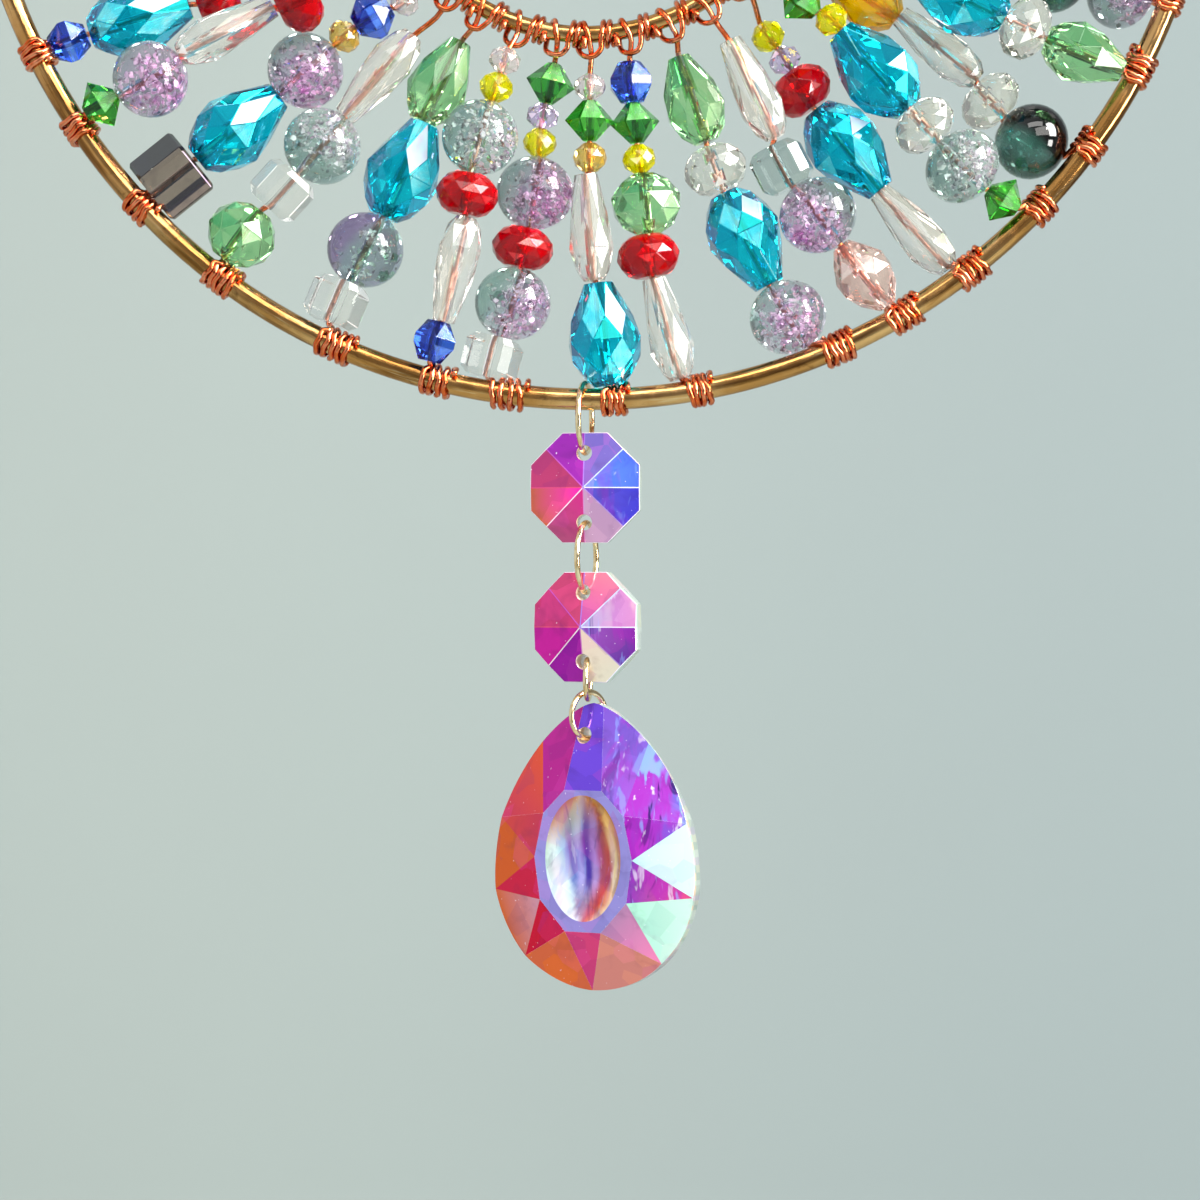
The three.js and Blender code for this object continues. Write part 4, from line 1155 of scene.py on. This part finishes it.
def blend_colour(a, b, low, high):
    """Turns from one colour to the other between two points of the facet."""
    ca, cb = vivid(a), vivid(b)
    low, high = Vector(low), Vector(high)
    d = high - low

    def at(co):
        t = max(0.0, min(1.0, (Vector(co[:2]) - low).dot(d) / d.length_squared))
        return tuple(x + (y - x) * t for x, y in zip(ca, cb))

    return at


def streaked(colour, amount=1.0):
    colour.busy = amount
    return colour


def rim_colour(c, z, key):
    """The side wall: a painted highlight line along its front edge, and behind it glass painted as grey as the wall
    seen through it.
    """
    light = ("#C8B49C", "#B0C8B4", "#CCBCA4", "#A4C0B4", "#C4B4BC")
    grey = ("#98A69C", "#A4B0A8", "#8FA096", "#A6AE9E", "#9CA2A6")
    return flat_colour((light if z > 0.35 else grey)[key % 5])


def slice_wall(bm, z):
    """A seam along the side wall, so that its front and its back take their own colours."""
    faces = [f for f in bm.faces if abs(f.normal.z) < 0.25]
    edges = {e for f in faces for e in f.edges}
    verts = {v for f in faces for v in f.verts}
    bmesh.ops.bisect_plane(bm, geom=list(verts) + list(edges) + faces, plane_co=(0, 0, z), plane_no=(0, 0, 1), dist=1e-5)


def octagon(name, x, z, turn, colours, back):
    apothem, apex, edge = 7.0, 2.5, 1.0
    corner = apothem / math.cos(math.pi / 8)
    drop = (apex - edge) / math.cos(math.pi / 8) ** 2
    rim = []
    for i in range(16):
        q = i * math.pi / 8 + math.pi / 2
        r = corner if i % 2 else apothem
        rim.append((r * math.cos(q), r * math.sin(q), apex - drop if i % 2 else edge))
    bm = bmesh.new()
    front = [bm.verts.new(p) for p in rim]
    rear = [bm.verts.new((a, b, -c)) for a, b, c in rim]
    top, low = bm.verts.new((0, 0, apex)), bm.verts.new((0, 0, -apex))
    # each facet is a kite: middle, edge middle, corner, edge middle
    for i in range(0, 16, 2):
        j, k = (i + 1) % 16, (i + 2) % 16
        bm.faces.new([top, front[i], front[j], front[k]])
        bm.faces.new([low, rear[k], rear[j], rear[i]])
        bm.faces.new([front[i], rear[i], rear[j], front[j]])
        bm.faces.new([front[j], rear[j], rear[k], front[k]])
    bm.normal_update()
    sharp = [e for e in bm.edges if e.calc_face_angle(0) > math.radians(4)]
    bmesh.ops.bevel(bm, geom=sharp, offset=0.07, offset_type="OFFSET", segments=1, profile=0.5, affect="EDGES", clamp_overlap=True)
    bm.normal_update()
    slice_wall(bm, 0.35)
    me = carve(bm, [cutter("bore", y=4.4, r=1.0), cutter("bore", y=-4.4, r=1.0)])

    def choose(c, n):
        near = min(math.hypot(c.x, c.y - 4.4), math.hypot(c.x, c.y + 4.4))
        if abs(n.z) < 0.3:
            if near < 1.1:
                return 0, True, flat_colour("#FFF0DC")
            return 0, False, rim_colour(c, c.z, int((math.degrees(math.atan2(c.x, c.y)) % 360) // 9))
        # the bevels along the facet edges: painted highlight lines
        if abs(n.z) < 0.9:
            return 0, False, flat_colour("#FFF0FF")
        spoke = math.degrees(math.atan2(c.x, c.y)) % 360
        off = abs((spoke + 22.5) % 45 - 22.5)
        far = math.hypot(c.x, c.y)
        if n.z > 0 and far * math.sin(math.radians(off)) < 0.05 and off < 4:
            return 0, False, flat_colour(RIDGES[int(round(spoke / 45)) % 8])
        # sector clockwise from straight up, as seen from the front
        q = math.degrees(math.atan2(n.x, n.y)) % 360
        k = int(q // 45) % 8
        if n.z > 0:
            return 0, False, colours[k]
        return 0, False, back[k]

    paint(me, name, choose, [MAT["crystal"], MAT["crystal_clear"]])
    me.transform(Matrix.Scale(MM, 4))
    me.transform(crystal_frame(x, z, turn))
    me.name = name + "_cut"
    return place(bpy.data.objects.new(name + "_cut", me), "crystal", name)


# Painted highlights along the ridges between the sectors, clockwise from straight up
RIDGES = ["#9A78D8", "#C8DCFF", "#F0F4FF", "#A888D0", "#C880C0", "#FFE4F4", "#D84870", "#B850B8"]
# sector colours of the octagons: the coat's own colour together with painted reflections
OCT1 = [
    flat_colour("#6B5CAA"),
    streaked(blend_colour("#5E8CFB", "#3D58E4", (1, 1), (6, 3)), 0.3),
    streaked(blend_colour("#564FB5", "#3C38B8", (1, -1), (5.5, -3)), 0.25),
    flat_colour("#B58DAE"),
    blend_colour("#D12986", "#AC4B74", (-0.5, -1.5), (-2.5, -6)),
    blend_colour("#F81CB0", "#BA5B29", (-1, -0.8), (-5.4, -2.6)),
    flat_colour("#AA3464"),
    flat_colour("#8D2299"),
]
OCT2 = [
    blend_colour("#BA4798", "#D87289", (1, 1), (2, 6.5)),
    streaked(blend_colour("#AB9BCD", "#D8A3BE", (1, 1), (6, 2)), 0.5),
    streaked(blend_colour("#8450AF", "#5B298B", (1, -1), (5, -3)), 0.5),
    blend_colour("#E8D0BC", "#DCD4C0", (1, -2), (2, -6)),
    flat_colour("#940F97"),
    flat_colour("#BC108F"),
    flat_colour("#C0326B"),
    flat_colour("#C23E65"),
]
BACK = [flat_colour(c) for c in ("#D8A0E0", "#A8B0F0", "#E0B8D8", "#F0D0C8", "#D890D8", "#E8A8C0", "#C8A0E8", "#E0B0E8")]
octagon(*OCTAGONS[0], OCT1, BACK)
octagon(*OCTAGONS[1], OCT2, BACK[3:] + BACK[:3])

TEAR_HALF, TEAR_TOP, TEAR_ROUND_AT, TEAR_TABLE, TEAR_RIM = 14.5, 19.6, -2.4, 3.5, 0.9
TEAR_HOLE_AT, TEAR_HOLE_X, TEAR_HOLE_R, TEAR_NECK = 15.5, -0.83, 1.05, 1.9
DISH_A, DISH_B, DISH_DEEP, DISH_BULGE = 5.45, 8.0, 1.3, 6.0
SPAN = TEAR_TOP - TEAR_ROUND_AT


def tear_width(y):
    if y < TEAR_ROUND_AT:
        return math.sqrt(max(0.0, TEAR_HALF**2 - (y - TEAR_ROUND_AT) ** 2))
    return TEAR_HALF * max(0.0, 1 - ((y - TEAR_ROUND_AT) / SPAN) ** 2) ** 0.7


# The dish from its top to its bottom: height, and its colours from left to right, the coat's colour with painted
# reflections and a painted highlight at the left
DISH = [
    (0.95, ["#B86C38", "#C88460", "#D0A890", "#B89098", "#C88048", "#C87028", "#D89840", "#B87830"]),
    (0.55, ["#B89468", "#C8A488", "#9CA8A4", "#B8B8C4", "#6C5098", "#9C7CB8", "#A85038", "#F0C070", "#C08828"]),
    (0.10, ["#C0DCCC", "#E8FFFF", "#A8D0E0", "#5868B0", "#9C94DC", "#4C34A0", "#A484CC", "#A04858", "#B84830", "#F8E0A0", "#B88030"]),
    (-0.35, ["#E0FFF8", "#FFFFFF", "#E0F8FF", "#6478C0", "#ACA4E4", "#48349C", "#B090D0", "#B04C60", "#C04830", "#F8DCA0", "#C09048"]),
    (-0.70, ["#F0FFFF", "#FFFFFF", "#E8FCFF", "#8C88A8", "#A890B0", "#C06070", "#D84434", "#E89868", "#E8C8A0"]),
    (-0.98, ["#F8FFFF", "#F0F4FF", "#A88890", "#C05848", "#D87850", "#F0C8A8"]),
]


def dish_colour(co):
    """Curved bands across the dish, like a lens with a painted highlight crescent at its left and a gold rim at its
    right.
    """
    v = max(-0.98, min(0.95, co[1] / DISH_B))
    u = co[0] / DISH_A / math.sqrt(max(0.05, 1 - min(0.95, v * v)))
    u = 0.5 + 0.5 * max(-1.0, min(1.0, u + 0.05 * math.sin(5 * v)))

    def along(row):
        at = u * (len(row) - 1)
        k = min(len(row) - 2, int(at))
        t = at - k
        t = max(0.0, min(1.0, (t - 0.18) / 0.64))
        t = t * t * (3 - 2 * t)
        return [x + (y - x) * t for x, y in zip(vivid(row[k]), vivid(row[k + 1]))]

    for (a, one), (b, two) in zip(DISH, DISH[1:]):
        if v >= b:
            t = (a - v) / (a - b)
            return tuple(x + (y - x) * t for x, y in zip(along(one)[:3], along(two)[:3])) + (1.0,)
    return tuple(along(DISH[-1][1])[:3]) + (1.0,)


streaked(dish_colour, 0.3)


def teardrop(name, x, z, turn):
    side = []
    n = 72
    for i in range(n + 1):
        s = i / n * math.pi
        y = TEAR_ROUND_AT - TEAR_HALF * math.cos(s) if i < n / 2 else TEAR_ROUND_AT + SPAN * math.sin(s - math.pi / 2)
        side.append((0.0 if i in (0, n) else tear_width(y), y))
    outline = side + [(-a, b) for a, b in reversed(side[1:-1])]
    bm = bmesh.new()
    low = [bm.verts.new((a, b, -TEAR_TABLE)) for a, b in outline]
    top = [bm.verts.new((a, b, TEAR_TABLE)) for a, b in outline]
    m = len(outline)
    bm.faces.new(top)
    bm.faces.new(list(reversed(low)))
    for i in range(m):
        j = (i + 1) % m
        bm.faces.new([low[i], low[j], top[j], top[i]])
    t = [(a, b, TEAR_TABLE) for a, b in ((2.7, 8.6), (5.75, 5.6), (7.05, 0), (6.25, -5.4), (2.6, -9.3))]
    r = [(tear_width(y), y, TEAR_RIM) for y in (14.6, 4.7, -4.6, -13.0)]
    bottom, tip = (0, TEAR_ROUND_AT - TEAR_HALF, TEAR_RIM), (0, TEAR_TOP, 0.55)
    mir = lambda p: (-p[0], p[1], p[2])
    fall = (TEAR_HOLE_AT - t[0][1]) / (tip[1] - t[0][1])
    neck = (TEAR_NECK, TEAR_HOLE_AT, TEAR_TABLE + (tip[2] - TEAR_TABLE) * fall)
    away = lambda p: (t[0][1] - t[1][1]) * (p[0] - t[0][0]) + (t[1][0] - t[0][0]) * (p[1] - t[0][1])
    r[0] = (r[0][0], r[0][1], TEAR_TABLE - (TEAR_TABLE - neck[2]) * away(r[0]) / away(neck))
    facets = [
        (t[0], mir(t[0]), tip), (t[1], t[0], neck), (t[1], r[0], r[1]), (t[2], t[1], r[1]), (t[2], r[1], r[2]),
        (t[3], t[2], r[2]), (t[3], r[2], r[3]), (t[4], t[3], r[3]), (t[4], r[3], bottom), (mir(t[4]), t[4], bottom),
    ]
    planes = []
    for key, (pa, pb, pc) in enumerate(facets):
        pa, pb, pc = Vector(pa), Vector(pb), Vector(pc)
        nrm = (pb - pa).cross(pc - pa).normalized()
        if nrm.z < 0:
            nrm = -nrm
        for flip in (1, -1) if abs(nrm.x) > 1e-6 else (1,):
            for face in (1, -1):
                planes.append((Vector((pa.x * flip, pa.y, pa.z * face)), Vector((nrm.x * flip, nrm.y, nrm.z * face)), key, flip, face))
    for at, nrm, *_ in planes:
        cut = bmesh.ops.bisect_plane(bm, geom=bm.verts[:] + bm.edges[:] + bm.faces[:], plane_co=at, plane_no=nrm, clear_outer=True, dist=1e-5)
        edges = [e for e in cut["geom_cut"] if isinstance(e, bmesh.types.BMEdge) and e.is_boundary]
        if edges:
            bmesh.ops.edgenet_fill(bm, edges=edges)
    bmesh.ops.remove_doubles(bm, verts=bm.verts, dist=1e-4)
    bmesh.ops.recalc_face_normals(bm, faces=bm.faces)
    sharp = [e for e in bm.edges if len(e.link_faces) == 2 and e.calc_face_angle(0) > math.radians(6.5)]
    bmesh.ops.bevel(bm, geom=sharp, offset=0.07, offset_type="OFFSET", segments=1, profile=0.5, affect="EDGES", clamp_overlap=True)
    bm.normal_update()
    slice_wall(bm, 0.3)
    share = math.sqrt(1 - ((DISH_BULGE - DISH_DEEP) / DISH_BULGE) ** 2)
    me = carve(bm, [
        cutter("bore", x=TEAR_HOLE_X, y=TEAR_HOLE_AT, r=TEAR_HOLE_R),
        cutter("dish", scale=(DISH_A / share, DISH_B / share, DISH_BULGE), at=(0, 0, TEAR_TABLE + DISH_BULGE - DISH_DEEP)),
    ])

    def choose(c, n):
        if abs(n.z) < 0.25:
            if math.hypot(c.x - TEAR_HOLE_X, c.y - TEAR_HOLE_AT) < TEAR_HOLE_R * 1.1:
                return 0, True, flat_colour("#FFF0DC")
            return 0, False, rim_colour(c, c.z, int(abs(c.y + 20) / 0.8))
        if c.z > 0 and (c.x / DISH_A) ** 2 + (c.y / DISH_B) ** 2 < 1.02 and c.z < TEAR_TABLE - 0.004:
            return 0, True, dish_colour
        best = max(planes, key=lambda p: n.dot(p[1]) if abs((c - p[0]).dot(p[1])) < 0.25 else -2)
        if abs(n.z) > 0.999:
            return 0, False, flat_colour("#8C84C8" if n.z > 0 else "#C0A8D8")
        # the bevels between facets: painted highlight lines
        if n.dot(best[1]) < 0.998:
            return 0, False, flat_colour("#FFE4F8" if c.x < 0 else "#F0F0FF")
        colour = (TEAR_FRONT if best[4] > 0 else TEAR_BACK)[(best[2], best[3])]
        return 0, False, colour

    paint(me, name, choose, [MAT["crystal"], MAT["crystal_clear"]])
    me.transform(Matrix.Scale(MM, 4))
    me.transform(crystal_frame(x, z, turn))
    me.name = name + "_cut"
    return place(bpy.data.objects.new(name + "_cut", me), "crystal", name)


# Facets of the teardrop from the top down: 1 on the right as seen from the front, -1 on the left; their colours are the
# coat's own together with painted reflections
TEAR_FRONT = {
    (0, 1): flat_colour("#613CC1"), (0, -1): flat_colour("#613CC1"),
    (1, 1): streaked(blend_colour("#6C48B0", "#8468CC", (3, 12), (8, 8)), 0.45),
    (1, -1): flat_colour("#A5157F"),
    (2, 1): streaked(blend_colour("#6E60BC", "#6070D4", (6, 8), (11, 5)), 1.0),
    (2, -1): blend_colour("#D04A24", "#B82C48", (-6, 12), (-11, 5)),
    (3, 1): streaked(blend_colour("#9A1CA8", "#6A58CC", (7, 1.5), (12, 4)), 0.7),
    (3, -1): blend_colour("#B82C48", "#C43C34", (-7, 4), (-12, 4)),
    (4, 1): blend_colour("#B4E4E4", "#D4F4F0", (7.5, 0), (13, 2)), (4, -1): flat_colour("#C4510D"),
    (5, 1): streaked(blend_colour("#7C38A8", "#D8487C", (7.5, -2.5), (13, -4)), 0.6),
    (5, -1): flat_colour("#C10437"),
    (6, 1): blend_colour("#A8E4CC", "#D0F4E4", (7, -7), (12, -6)),
    (6, -1): blend_colour("#CC90A4", "#D06028", (-8, -8), (-12, -9)),
    (7, 1): blend_colour("#B17EA8", "#FF88C0", (4, -8), (8, -12)),
    (7, -1): flat_colour("#CC002D"),
    (8, 1): flat_colour("#DA8575"), (8, -1): flat_colour("#EF6D2D"),
    (9, 1): flat_colour("#DA3D78"), (9, -1): flat_colour("#DA3D78"),
}
TEAR_BACK = {
    (k, s): flat_colour(("#D0A0E8", "#B8B0F0", "#E8B0C8", "#C8A8F0", "#F0C8C0", "#D890E0", "#B8E0E0", "#E8A0B8", "#E8C0A8", "#D8A0D0")[(k * 3 + (s < 0)) % 10])
    for k in range(10) for s in (1, -1)
}
teardrop(*TEARDROP)

# ---------------------------------------------------------------- camera, light and stage
scene = bpy.context.scene
camera = bpy.data.objects.new("camera", bpy.data.cameras.new("camera"))
scene.collection.objects.link(camera)
camera.data.lens = 100
camera.data.sensor_width = 36
camera.data.clip_start, camera.data.clip_end = 0.02, 20
camera.location = (1.145 * MM, -152.7 * MM * 100 / 36, -199.67 * MM)
camera.rotation_euler = (math.pi / 2, 0, 0)
scene.camera = camera
scene.view_settings.view_transform = "Standard"
scene.view_settings.look = "None"
scene.cycles.max_bounces = 20
scene.cycles.transmission_bounces = 18
scene.cycles.glossy_bounces = 6
scene.cycles.diffuse_bounces = 3
scene.cycles.sample_clamp_indirect = 8.0
scene.cycles.blur_glossy = 0.3


def area(name, at, aim, size, power, colour=(1, 1, 1)):
    light = bpy.data.lights.new(name, "AREA")
    light.shape = "RECTANGLE"
    light.size, light.size_y = size
    light.energy = power
    light.color = colour
    o = bpy.data.objects.new(name, light)
    scene.collection.objects.link(o)
    o.location = at
    o.rotation_euler = (Vector(aim) - Vector(at)).to_track_quat("-Z", "Y").to_euler()
    o.visible_camera = False
    return o


middle = Vector((0, 0, -0.19))
# A key from the right and in front, like a window, and weaker soft lights from the left and above
area("window", middle + TO_KEY * 1.6, middle, (0.7, 1.0), 62, (1.0, 0.985, 0.96))
area("low_window", middle + TO_LOW * 1.6, middle, (0.45, 0.45), 12, (1.0, 0.985, 0.96))
area("sky", middle + Vector((0.50, -0.76, 0.42)) * 1.6, middle, (1.4, 0.7), 15, (1.0, 0.97, 0.93))
area("top", middle + Vector((0.10, -0.66, 0.76)) * 1.6, middle, (1.2, 0.45), 9, (1.0, 0.98, 0.95))
area("spark", middle + Vector((0.80, -0.75, 0.62)) * 1.5, middle, (0.10, 0.10), 6, (1.0, 0.97, 0.92))
fill = area("fill", middle + Vector((-0.35, -0.62, 0.72)) * 1.5, middle, (1.1, 0.6), 24, (0.97, 0.98, 1.0))
fill.visible_glossy = fill.visible_transmission = False
# Small lamps all round, for the glints inside the cut glass
for i, (x, y, z) in enumerate(((0.5, 0.6, 0.6), (-0.6, 0.5, 0.6), (0.1, 0.25, 1.0), (-0.85, 0.5, -0.1), (0.8, 0.6, -0.2), (0.15, 0.6, -0.55), (-0.3, 0.7, -0.4))):
    glint = area("glint_%d" % i, middle + Vector((x, y, z)).normalized() * (1.3 if z > -0.3 else 0.75), middle, (0.13, 0.13), 1.6, (1.0, 0.97, 0.9))
    glint.visible_glossy = False

world = bpy.data.worlds.new("studio")
scene.world = world
world.use_nodes = True
wt = world.node_tree
wt.nodes.clear()
wn = Nodes(wt)
w_out = wt.nodes.new("ShaderNodeOutputWorld")
w_bg = wt.nodes.new("ShaderNodeBackground")
w_at = wt.nodes.new("ShaderNodeTexCoord")
w_sep = wt.nodes.new("ShaderNodeSeparateXYZ")
wn.link(w_at.outputs["Generated"], w_sep.inputs[0])
left_right = wn.ramp(w_sep.outputs[0], -0.5, 0.9)
w_colour = wn.mix(left_right, (0.88, 0.94, 0.95, 1), (0.28, 0.29, 0.30, 1))
w_colour = wn.mix(wn.ramp(w_sep.outputs[2], -0.8, -0.1, 0.75, 0.0), w_colour, (0.16, 0.13, 0.11, 1))
w_colour = wn.mix(wn.ramp(w_sep.outputs[1], -1.0, -0.86, 0.7, 0.0), w_colour, (0.16, 0.15, 0.15, 1))
wn.link(w_colour, w_bg.inputs["Color"])
w_bg.inputs["Strength"].default_value = 0.8
wn.link(w_bg.outputs[0], w_out.inputs["Surface"])


def stage_material(name, colour):
    m, n, p = material(name)
    where = position(n)
    sep = n.tree.nodes.new("ShaderNodeSeparateXYZ")
    n.link(where, sep.inputs[0])
    # painted light and shade on the wall: lighter at the left, darker at the right
    left = tuple(v * k for v, k in zip(colour[:3], (1.05, 1.055, 1.03))) + (1,)
    right = tuple(v * k for v, k in zip(colour[:3], (0.85, 0.88, 0.90))) + (1,)
    colour = n.mix(n.ramp(sep.outputs[0], -0.30, 0.32), left, right)
    n.link(n.mix(n.ramp(n.noise(6, 3, 0.5, where), 0.3, 0.7, 0.0, 0.04), colour, (0.2, 0.2, 0.2, 1)), p.inputs["Base Color"])
    p.inputs["Roughness"].default_value = 0.9
    p.inputs["Specular IOR Level"].default_value = 0.1
    return m


def stage():
    """A pale wall that curves into a pale floor."""
    profile = [(-2.2, -0.9)]
    for i in range(13):
        q = math.pi / 2 * i / 12
        profile.append((0.9 + 0.4 * math.sin(q), -0.9 + 0.4 * (1 - math.cos(q))))
    profile.append((1.3, 1.1))
    b = Build()
    verts = [(x * 1000, y * 1000, z * 1000) for y, z in profile for x in (-1.3, 1.3)]
    faces = [[2 * i, 2 * i + 1, 2 * i + 3, 2 * i + 2] for i in range(len(profile) - 1)]
    me = bpy.data.meshes.new("backdrop")
    me.from_pydata([tuple(c * MM for c in v) for v in verts], [], faces)
    for poly in me.polygons:
        poly.use_smooth = True
    me.materials.append(stage_material("pale_wall", (0.262, 0.297, 0.290, 1)))
    o = bpy.data.objects.new("backdrop", me)
    scene.collection.objects.link(o)


stage()
